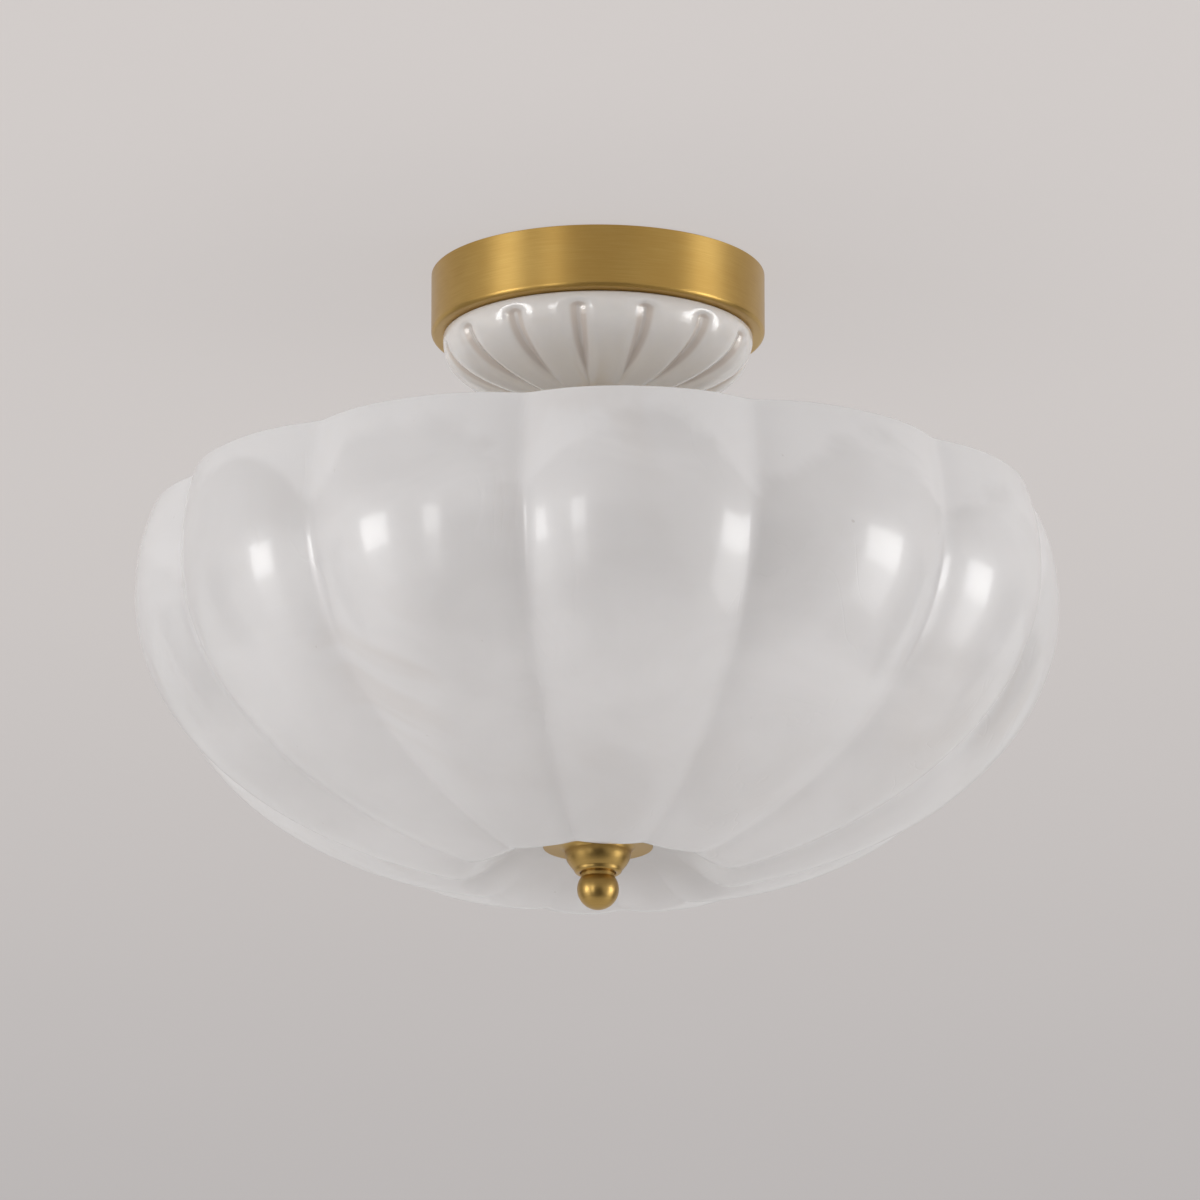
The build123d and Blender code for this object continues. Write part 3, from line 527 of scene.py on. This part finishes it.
class Finish:
    """A material while it is made: every node comes from its node method. A plain material of the
    CAD model that has its name is renamed first."""

    def __init__(self, name):
        plain = bpy.data.materials.get(name)
        if plain:
            plain.name = name + "_plain"
        self.material = bpy.data.materials.new(name)
        self.material["made"] = True
        self.material.use_nodes = True
        self.tree = self.material.node_tree
        self.tree.nodes.clear()
        self.place = self.node("ShaderNodeTexCoord", out="Object")

    def node(self, kind, settings=None, inputs=None, out=0):
        """Make a node: its settings first, then its sockets' values or links."""
        made = self.tree.nodes.new(kind)
        for key, value in (settings or {}).items():
            setattr(made, key, value)
        for key, value in (inputs or {}).items():
            if isinstance(value, Value):
                self.tree.links.new(value.socket, made.inputs[key])
            else:
                made.inputs[key].default_value = value
        return Value(self, made.outputs[out]) if len(made.outputs) else made

    def stretched(self, x, y, z):
        """Object coordinates times a factor each way: a small one makes a pattern long that way."""
        settings = {"operation": "MULTIPLY"}
        return self.node("ShaderNodeVectorMath", settings, {0: self.place, 1: (x, y, z)})

    def noise(self, place, scale, detail=2, rough=0.5, distortion=0):
        """Cloudy noise from 0 to 1 at a scale per metre."""
        inputs = {
            "Vector": place,
            "Scale": scale,
            "Detail": detail,
            "Roughness": rough,
            "Distortion": distortion,
        }
        return self.node("ShaderNodeTexNoise", None, inputs)

    def step(self, value, low, high):
        """Smooth step of a value from low to high."""
        settings = {"interpolation_type": "SMOOTHSTEP"}
        return self.node("ShaderNodeMapRange", settings, {0: value, 1: low, 2: high})

    def ridge(self, value, middle, sharpness):
        """Thin line where a value passes its middle: a smooth step of one less the distance from it
        times the sharpness."""
        return self.step(1.0 - abs(value - middle) * sharpness, 0.0, 1.0)

    def blend(self, share, low, high):
        """Colour between two colours."""
        low = low if isinstance(low, Value) else (*low, 1)
        high = high if isinstance(high, Value) else (*high, 1)
        return self.node("ShaderNodeMix", {"data_type": "RGBA"}, {0: share, 6: low, 7: high}, out=2)

    def mark(self, name):
        """A piece's own attribute as a number."""
        return self.node("ShaderNodeAttribute", {"attribute_name": name}, out="Fac")

    def bump(self, height, distance, strength):
        """Normal that follows a height from 0 to 1, times a distance in metres."""
        inputs = {"Height": height, "Distance": distance, "Strength": strength}
        return self.node("ShaderNodeBump", None, inputs)

    def done(self, **sockets):
        """Put the surface shader on the output and hand over the material."""
        inputs = {key.replace("_", " "): value for key, value in sockets.items()}
        shader = self.node("ShaderNodeBsdfPrincipled", None, inputs)
        self.node("ShaderNodeOutputMaterial", None, {"Surface": shader})
        return self.material


def brass_finish(name, light, dark, gloss, spread):
    """Satin brass: fine lines round the part, a slow change of tone and small soft blotches. The
    lines spread a highlight up and down, so the gloss is wider that way."""
    f = Finish(name)
    lines = f.noise(f.stretched(60, 60, 2600), 1.0, 3, 0.6)
    tone = f.noise(f.place, 22, 3, 0.5)
    blotch = f.noise(f.place, 160, 2, 0.5)
    shade = f.step(tone * 0.6 + lines * 0.4, 0.35, 0.65)
    return f.done(
        Base_Color=f.blend(shade, tuple(dark), tuple(light)),
        Metallic=1.0,
        Roughness=gloss + 0.05 * lines + 0.05 * blotch,
        Anisotropic=spread,
        Anisotropic_Rotation=0.25,
        Normal=f.bump(lines, 0.00001, 0.5),
    )


def marbled_finish(c):
    """Marbled glass: white clouds and faint warm streaks in a grey body, under a clear gloss, with
    a
    painted reflection of the ceiling: a paler band under the rim, whose wavy lower edge hangs down
    at the grooves. The surface has the slow ripple of hand-made glass, and a few hair lines and
    specks."""
    f = Finish("marbled_glass")
    flow = f.noise(f.stretched(1, 1, 1.4), 4.5, 3, 0.5, 0.6)
    fine = f.noise(f.stretched(1, 1, 1.6), 15, 4, 0.5, 0.7)
    clouds = f.step(flow * 0.65 + fine * 0.35, 0.34, 0.66)
    streak = f.noise(f.stretched(1, 1, 0.6), 9, 3, 0.5, 1.6)
    vein = f.ridge(streak, 0.52, 9.0) * f.step(f.noise(f.place, 9, 2), 0.48, 0.66)
    body = f.blend(clouds, tuple(c.glass), tuple(c.glass_cloud))
    z = f.node("ShaderNodeSeparateXYZ", None, {0: f.place}, out="Z")
    # painted reflection of the ceiling: a paler band under the rim, its lower edge hanging down at
    # the grooves
    reflection_band_wave = 0.024 * f.mark("groove") + 0.05 * (fine - 0.5)
    reflection_band_foot, reflection_band_top = -0.131, -0.120
    painted_reflection_band = f.step(z + reflection_band_wave, reflection_band_foot, reflection_band_top)
    paler = f.blend(painted_reflection_band * 0.6, body, tuple(c.glass_rim_painted_reflection))
    tinted = f.blend(vein * 0.2, paler, tuple(c.glass_vein))
    speck = f.step(f.noise(f.place, 240, 1), 0.81, 0.85)
    spotted = f.blend(speck * 0.35, tinted, tuple(c.glass_speck))
    slow = f.noise(f.stretched(1, 1, 0.45), 26, 1, 0.4)
    quick = f.noise(f.stretched(1, 1, 0.4), 85, 1, 0.4)
    line = f.noise(f.stretched(1, 1, 0.3), 26, 2, 0.5, 1.2)
    hair = f.ridge(line, 0.5, 60.0) * f.step(f.noise(f.place, 17, 1), 0.52, 0.6)
    return f.done(
        Base_Color=spotted,
        Roughness=0.30 + 0.06 * fine,
        IOR=1.5,
        Coat_Weight=0.7,
        Coat_Roughness=0.12,
        Coat_IOR=1.45,
        Subsurface_Weight=0.5,
        Subsurface_Radius=(1.0, 0.95, 0.9),
        Subsurface_Scale=0.009,
        Normal=f.bump(slow + 0.1 * quick - 0.2 * hair, 0.0004, 0.5),
    )


def fluted_finish(c):
    """Fluted glass: milky pads under a clear gloss, with painted refraction in the grooves, warm
    lines with a paler painted highlight along their bottom, and painted warm light towards the
    stem."""
    f = Finish("fluted_glass")
    groove, foot = f.mark("groove"), f.mark("foot")
    cloud = f.step(f.noise(f.stretched(1, 1, 1.5), 34, 4, 0.55, 0.8), 0.35, 0.7)
    body = f.blend(cloud, tuple(v * 0.95 for v in c.dome), tuple(c.dome))
    # painted refraction: warm lines in the grooves, with a paler painted highlight along their
    # bottom
    warm = f.step(groove, 0.30, 0.62) * (1 - 0.5 * f.step(groove, 0.86, 0.97))
    # painted light: the dome gets warmer towards the stem
    painted_foot_light = f.blend(f.step(foot, 0.4, 0.9), body, tuple(c.dome_foot_painted_light))
    return f.done(
        Base_Color=f.blend(warm * 0.8, painted_foot_light, tuple(c.dome_groove_painted_refraction)),
        Roughness=0.20,
        IOR=1.5,
        Coat_Weight=0.7,
        Coat_Roughness=0.07,
        Subsurface_Weight=0.6,
        Subsurface_Radius=(1.0, 0.9, 0.8),
        Subsurface_Scale=0.012,
        Normal=f.bump(f.noise(f.place, 60, 2), 0.0004, 0.5),
    )


def metal_finish(name, light, dark, rough, scale, grain):
    """Plain plated or drawn metal: a slow change of tone, fine grain and small scuffs."""
    f = Finish(name)
    tone = f.noise(f.place, scale, 4, 0.6)
    fine = f.noise(f.place, grain, 3, 0.6)
    shade = f.step(tone * 0.7 + fine * 0.3, 0.35, 0.65)
    return f.done(
        Base_Color=f.blend(shade, dark, light),
        Metallic=1.0,
        Roughness=rough - 0.06 + 0.12 * fine,
        Normal=f.bump(fine, 0.00003, 0.6),
    )


def moulded_finish(name, light, dark, rough, scale, grain, height):
    """Moulded or painted surface: faint mottling and a fine skin texture."""
    f = Finish(name)
    tone = f.noise(f.place, scale, 3, 0.55)
    fine = f.noise(f.place, grain, 2, 0.5)
    return f.done(
        Base_Color=f.blend(f.step(tone, 0.3, 0.7), dark, light),
        Roughness=rough - 0.04 + 0.08 * fine,
        Normal=f.bump(fine, height, 0.6),
    )


def make_finishes(c):
    """Make every finish of the lamp."""
    brass_finish("satin_brass", c.brass, c.brass_deep, 0.34, 0.75)
    brass_finish("turned_brass", c.brass_turned, c.brass_turned_deep, 0.31, 0.3)
    marbled_finish(c)
    fluted_finish(c)
    for row in METALS:
        metal_finish(*row)
    for row in MOULDED:
        moulded_finish(*row)


def scene_settings():
    """The lamp's settings in the scene."""
    return bpy.context.scene.ceiling_light


def finish(name):
    """A finish by its name; the first call makes them all."""
    material = bpy.data.materials.get(name)
    if material is None or "made" not in material:
        make_finishes(scene_settings().colours)
    return bpy.data.materials[name]


# Operators


class LAMP_OT_bowl(bpy.types.Operator):
    """Make the lobed bowl of marbled glass"""

    bl_idname = "ceiling_light.bowl"
    bl_label = "Bowl"

    def execute(self, context):
        s = scene_settings().bowl
        line, groove = bowl_line(s)
        shape, mark, _ = lobed_glass(s, line, groove, level_to=1.0, lip=0.0, per_lobe=28, rows=120)
        glass = finish("marbled_glass")
        marks = {"groove": mark}
        put_mesh("bowl_shade", shape, "bowl_set", glass, ["bowl_glass"], marks)
        return {"FINISHED"}


class LAMP_OT_dome(bpy.types.Operator):
    """Make the fluted dome of milky glass"""

    bl_idname = "ceiling_light.dome"
    bl_label = "Dome"

    def execute(self, context):
        s = scene_settings().dome
        line, groove = dome_line(s)
        shape, mark, height = lobed_glass(
            s, line, groove, level_to=0.0, lip=s.lip, per_lobe=28, rows=90
        )
        glass = finish("fluted_glass")
        marks = {"groove": mark, "foot": 1 - (height + s.top_drop + s.height) / s.height}
        put_mesh("dome_shade", shape, "canopy_set", glass, ["dome_glass"], marks)
        return {"FINISHED"}


class LAMP_OT_brass(bpy.types.Operator):
    """Make the turned brass: the canopy, the finial's cup and ball, and the slip collar"""

    bl_idname = "ceiling_light.brass"
    bl_label = "Brass"

    def execute(self, context):
        s = scene_settings().brass
        satin, polished = finish("satin_brass"), finish("turned_brass")
        for name, outline, steps, body, node, polish in (
            ("canopy_can", canopy_outline(s), 256, "canopy_set", "canopy", satin),
            ("finial_cup_turned", cup_outline(s), 160, "bowl_set", "finial_cup", polished),
            ("finial_ball_turned", ball_outline(s), 128, "ball_nut", "finial_ball", polished),
            ("slip_collar_turned", collar_outline(s), 96, "canopy_set", "slip_collar", polished),
        ):
            put_mesh(name, turned(outline, steps), body, polish, [node])
        return {"FINISHED"}


def canopy_outline(s):
    """Section of the canopy: a can of even wall, open at the top, with a rounded lower corner."""
    outer, inner = s.canopy_radius, s.canopy_radius - s.canopy_wall
    foot, floor = -s.canopy_height, s.canopy_wall - s.canopy_height
    hole = s.canopy_hole
    corners = [(outer, foot), (outer, 0), (inner, 0), (inner, floor), (hole, floor), (hole, foot)]
    small = s.canopy_wall / 4
    radii = [s.canopy_corner, small, small, s.canopy_corner / 2, small, small]
    return guarded(rounded(corners, radii, 9))


def cup_outline(s):
    """Section of the cup: a flange, a quarter-round flare, a bell whose side is a parabola, a
    rounded lower edge, and a recess from below."""
    top, foot = -s.cup_drop, -s.cup_drop - s.cup_height
    under, roof = top - s.flange, top - s.cup_bore_depth
    edge = s.flange * 0.3
    corners = [
        (s.rod_hole, roof),
        (s.rod_hole, top),
        (s.cup_radius, top),
        (s.cup_radius, under),
        (s.bell_radius, under),
    ]
    flange = rounded(corners, [edge / 2, edge / 2, edge, edge, edge / 2], 6)[6:24]
    flare = arc((s.bell_radius + s.flare, under - s.flare), s.flare, 90, 180, 14)
    t = np.linspace(0, 1, 14)[1:]
    high, low = under - s.flare, foot + s.cup_edge
    swell = 4 * s.bulge * t * (1 - t)
    side = s.bell_radius + (s.mouth_radius - s.bell_radius) * t + swell
    bell = np.stack([side, high + (low - high) * t], 1)
    lower = arc((s.mouth_radius - s.cup_edge, low), s.cup_edge, 0, -90, 12)[1:]
    corners = [
        (s.mouth_radius, foot),
        (s.cup_bore, foot),
        (s.cup_bore, roof),
        (s.rod_hole, roof),
        (s.rod_hole, top),
    ]
    recess = rounded(corners, [edge, edge, edge, edge / 2, edge], 5)[5:20]
    return guarded(np.concatenate([flange, flare, bell, lower, recess]))


def ball_outline(s):
    """Section of the ball nut, from the blind bore's end up the bore, over the neck and round
    the ball."""
    bore = [(0, -s.ball_bore_drop), (s.ball_bore, -s.ball_bore_drop)]
    corners = [
        (s.ball_bore, -s.ball_bore_drop),
        (s.ball_bore, -s.neck_drop),
        (s.neck_radius, -s.neck_drop),
        (s.neck_radius, -s.ball_drop),
    ]
    small, edge = 0.3 * MM, 0.5 * MM
    neck = rounded(corners, [small, small, edge, small], 5)[5:15]
    start = math.degrees(math.acos(s.neck_radius / s.ball_radius))
    ball = arc((0, -s.ball_drop), s.ball_radius, start, -90, 64)
    ball[-1, 0] = 0
    return guarded(np.concatenate([bore, neck, ball]), closed=False)


def collar_outline(s):
    """Section of the slip collar: a tube with rounded edges."""
    top, foot = -s.collar_drop, -s.collar_drop - s.collar_height
    hole, outer = s.collar_hole, s.collar_radius
    corners = [(hole, top), (outer, top), (outer, foot), (hole, foot)]
    return guarded(rounded(corners, [0.3 * MM, 0.8 * MM, 0.8 * MM, 0.3 * MM], 6))


class LAMP_OT_bulbs(bpy.types.Operator):
    """Make the bulbs' globes and screw caps"""

    bl_idname = "ceiling_light.bulbs"
    bl_label = "Bulbs"

    def execute(self, context):
        s = scene_settings().lamps
        sheet, glass = finish("nickel"), finish("opal_globe")
        outline, share = cap_outline(s)
        for k in range(1, s.lamps + 1):
            along = math.radians(s.turn + (k - 1) * 360 / s.lamps), s.drop
            body = f"bulb_{k}"
            cap = turned(outline, 48, (s.cap_pitch, s.cap_thread, share), along)
            put_mesh(f"screw_cap_{k}", cap, body, sheet, [f"bulb_cap_{k}"])
            globe = turned(globe_outline(s), 96, None, along)
            put_mesh(f"globe_{k}", globe, body, glass, [f"bulb_globe_{k}"])
        return {"FINISHED"}


def cap_outline(s):
    """Section of the screw cap, out along its outer side and back along its inner side, with the
    share of the thread at each point: smooth steps let it die out over half a pitch at both
    ends."""
    per_turn = 12
    rows = int(s.cap_length / s.cap_pitch * per_turn)
    h = s.cap_start + s.cap_length * np.linspace(0, 1, rows)
    outer = np.stack([0 * h + s.cap_radius, h], 1)
    inner = np.stack([0 * h + s.cap_radius - s.cap_wall, h], 1)[::-1]
    outline = np.concatenate([outer, inner])
    reach = np.minimum(outline[:, 1] - s.cap_start, s.cap_start + s.cap_length - outline[:, 1])
    return outline, ease(reach / (s.cap_pitch / 2))


def globe_outline(s):
    """Section of the globe, from its tip to its mouth and back inside to the tip."""
    mouth = math.degrees(math.asin(s.globe_mouth / s.globe_radius))
    inner_radius = s.globe_radius - s.globe_wall
    mouth_rise = s.globe_radius * math.cos(math.radians(mouth))
    inner_mouth = math.degrees(math.acos(mouth_rise / inner_radius))
    outer = arc((0, s.globe_centre), s.globe_radius, 90, mouth - 90, 48)
    inner = arc((0, s.globe_centre), inner_radius, inner_mouth - 90, 90, 36)
    outer[0, 0] = inner[-1, 0] = 0
    return np.concatenate([outer, inner])


class LAMP_OT_rod(bpy.types.Operator):
    """Make the threaded lower rod"""

    bl_idname = "ceiling_light.rod"
    bl_label = "Rod"

    def execute(self, context):
        s = scene_settings().lamps
        outline, share = rod_outline(s)
        rod = turned(outline, 24, (s.rod_pitch, s.rod_thread, share))
        steel = finish("zinc_steel")
        put_mesh("lower_rod_threaded", rod, "root", steel, ["lower_rod"])
        return {"FINISHED"}


def rod_outline(s):
    """Section of a threaded rod from end to end, with the share of the thread at each point
    between the two poles, which is 1 all along."""
    per_turn = 8
    rows = int(s.rod_length / s.rod_pitch * per_turn)
    t = np.linspace(0, 1, rows)
    side = np.stack([0 * t + s.rod_radius, -s.rod_drop - s.rod_length * t], 1)
    outline = np.concatenate([[(0, side[0, 1])], side, [(0, side[-1, 1])]])
    return outline, 0 * t + 1


class LAMP_OT_hardware(bpy.types.Operator):
    """Give every CAD node that stays its finish"""

    bl_idname = "ceiling_light.hardware"
    bl_label = "Hardware"

    def execute(self, context):
        for row in frame["record"]["subparts"]:
            materials = frame["nodes"][row["node"]].data.materials
            materials.clear()
            materials.append(finish(row["material_slot"]))
        return {"FINISHED"}


class LAMP_OT_stage(bpy.types.Operator):
    """Set up the ceiling, the floor, the soft lights and the camera"""

    bl_idname = "ceiling_light.stage"
    bl_label = "Stage"

    def execute(self, context):
        s = scene_settings().stage
        scene = context.scene
        scene.view_settings.view_transform = "Standard"
        paint = stage_finish("stage_ceiling", s.ceiling, s.ceiling_far_painted_shade, s.glow)
        ceiling = plane("stage_ceiling", s.ceiling_half, s.ceiling_lift, False, paint)
        ceiling.visible_diffuse = False
        ceiling.visible_shadow = False
        paint = stage_finish("stage_floor", s.floor, s.floor, s.glow)
        plane("stage_floor", s.floor_half, -s.floor_drop, True, paint)
        world = bpy.data.worlds.new("room")
        world.use_nodes = True
        background = world.node_tree.nodes["Background"]
        background.inputs["Color"].default_value = (*s.room, 1)
        background.inputs["Strength"].default_value = s.world
        scene.world = world
        for row in SOFT_LIGHTS:
            soft_light(*row)
        dark_flags(s)
        place_camera(scene, s)
        return {"FINISHED"}


def plane(name, half, z, faces_up, material):
    """A level square of the stage."""
    corners = [(-half, -half, z), (half, -half, z), (half, half, z), (-half, half, z)]
    mesh = bpy.data.meshes.new(name)
    mesh.from_pydata(corners, [], [(0, 1, 2, 3) if faces_up else (0, 3, 2, 1)])
    mesh.materials.append(material)
    obj = bpy.data.objects.new(name, mesh)
    bpy.context.scene.collection.objects.link(obj)
    return obj


def dark_flags(s):
    """Dark cloths which only reflections show: one behind the camera and on the floor before it,
    and an upright one each side behind the lamp. They give the brass its dark middle and ends."""
    half, top, foot, back, front = 2.4, -0.45, -2.35, -5.2, -1.3
    section = (back, top), (back, foot), (front, foot)
    corners = [(side * half, y, z) for y, z in section for side in (-1, 1)]
    upright_top = -0.02
    for azimuth, half, distance in UPRIGHT_FLAGS:
        a = math.radians(azimuth)
        x, y = math.sin(a) * distance, -math.cos(a) * distance
        for z in (upright_top, foot):
            for reach in (-half, half):
                corners.append((x + reach * math.cos(a), y + reach * math.sin(a), z))
    mesh = bpy.data.meshes.new("stage_flag")
    mesh.from_pydata(corners, [], [(0, 1, 3, 2), (2, 3, 5, 4), (6, 7, 9, 8), (10, 11, 13, 12)])
    f = Finish("stage_flag")
    cloth = f.node("ShaderNodeBsdfDiffuse", None, {"Color": (*s.flag, 1)})
    f.node("ShaderNodeOutputMaterial", None, {"Surface": cloth})
    mesh.materials.append(f.material)
    flag = bpy.data.objects.new("stage_flag", mesh)
    flag.visible_camera = flag.visible_diffuse = False
    flag.visible_shadow = flag.visible_transmission = False
    bpy.context.scene.collection.objects.link(flag)


def stage_finish(name, near, far, glow):
    """Matt paint that is only there from its front, with painted shade: darker beyond the lamp, as
    the light falls off. Camera, glossy and transmission rays see a share of its colour without
    shadow, and the rest keeps the lamp's shadow."""
    f = Finish(name)
    y = f.node("ShaderNodeSeparateXYZ", None, {0: f.place}, out="Y")
    # painted shade: the colour goes from near to far, darker beyond the lamp
    patch = f.noise(f.place, 1.5, 2) * 0.3
    tone = f.blend(f.step(y + patch, -0.3, 2.2), tuple(near), tuple(far))
    paint = f.node("ShaderNodeBsdfDiffuse", None, {"Color": tone})
    even = f.node("ShaderNodeEmission", None, {"Color": tone, "Strength": 1.0})
    seen = f.node("ShaderNodeLightPath", out="Is Camera Ray")
    for ray in ("Is Glossy Ray", "Is Transmission Ray"):
        seen = seen + f.node("ShaderNodeLightPath", out=ray)
    front = f.node("ShaderNodeMixShader", None, {0: seen * glow, 1: paint, 2: even})
    behind = f.node("ShaderNodeNewGeometry", out="Backfacing")
    clear = f.node("ShaderNodeBsdfTransparent")
    both = f.node("ShaderNodeMixShader", None, {0: behind, 1: front, 2: clear})
    f.node("ShaderNodeOutputMaterial", None, {"Surface": both})
    return f.material


def soft_light(name, azimuth, width, height, top, distance, radiance):
    """Upright soft light that faces the lamp; the azimuth is from the camera's side towards +X."""
    data = bpy.data.lights.new(name, "AREA")
    data.shape = "RECTANGLE"
    data.size = width
    data.size_y = height
    data.energy = radiance * width * height * math.pi
    obj = bpy.data.objects.new(name, data)
    a = math.radians(azimuth)
    middle = Vector((math.sin(a) * distance, -math.cos(a) * distance, top - height / 2))
    obj.location = middle
    obj.rotation_euler = (Vector((0, 0, middle.z)) - middle).to_track_quat("-Z", "Y").to_euler()
    obj.visible_camera = False
    obj.visible_glossy = not name.endswith("back")
    bpy.context.scene.collection.objects.link(obj)


def place_camera(scene, s):
    """Camera at the photograph's angle; its shift brings the target to its place in the frame."""
    data = bpy.data.cameras.new("camera")
    camera = bpy.data.objects.new("camera", data)
    scene.collection.objects.link(camera)
    pitch = math.radians(s.pitch)
    back = Vector((0, -math.cos(pitch), -math.sin(pitch)))
    camera.location = Vector((0, 0, -s.target_drop)) + back * s.distance
    camera.rotation_mode = "QUATERNION"
    camera.rotation_quaternion = (-back).to_track_quat("-Z", "Y")
    data.sensor_width = 36
    data.lens = s.pixels_per_metre * s.distance / FRAME_PIXELS * data.sensor_width
    data.shift_x = 0.5 - TARGET_PIXEL[0] / FRAME_PIXELS
    data.shift_y = TARGET_PIXEL[1] / FRAME_PIXELS - 0.5
    scene.camera = camera


class LAMP_PT_panel(bpy.types.Panel):
    """Lists the pieces of the lamp and their settings"""

    bl_idname = "LAMP_PT_panel"
    bl_label = "Ceiling light"
    bl_space_type = "VIEW_3D"
    bl_region_type = "UI"
    bl_category = "Ceiling light"

    def draw(self, context):
        for operator in OPERATORS:
            self.layout.operator(operator.bl_idname)
        for part in LampSettings.__annotations__:
            settings = getattr(scene_settings(), part)
            box = self.layout.box()
            box.label(text=part.capitalize())
            for key in type(settings).__annotations__:
                box.prop(settings, key)


class LampSettings(bpy.types.PropertyGroup):
    """All the settings of the lamp."""

    bowl: PointerProperty(type=BowlSizes)
    dome: PointerProperty(type=DomeSizes)
    brass: PointerProperty(type=BrassSizes)
    lamps: PointerProperty(type=LampSizes)
    colours: PointerProperty(type=FinishColours)
    stage: PointerProperty(type=StageSettings)


OPERATORS = (
    LAMP_OT_bowl,
    LAMP_OT_dome,
    LAMP_OT_brass,
    LAMP_OT_bulbs,
    LAMP_OT_rod,
    LAMP_OT_hardware,
    LAMP_OT_stage,
)
SETTINGS = (BowlSizes, DomeSizes, BrassSizes, LampSizes, FinishColours, StageSettings, LampSettings)
CLASSES = (*SETTINGS, *OPERATORS, LAMP_PT_panel)


def register():
    """Register the classes and put the settings on the scene."""
    for item in CLASSES:
        bpy.utils.register_class(item)
    bpy.types.Scene.ceiling_light = PointerProperty(type=LampSettings)


def unregister():
    """Take the settings off the scene and the classes out again."""
    del bpy.types.Scene.ceiling_light
    for item in reversed(CLASSES):
        bpy.utils.unregister_class(item)


def main():
    """Make the whole lamp."""
    register()
    for operator in OPERATORS:
        group, name = operator.bl_idname.split(".")
        getattr(getattr(bpy.ops, group), name)()


if __name__ == "__main__":
    main()
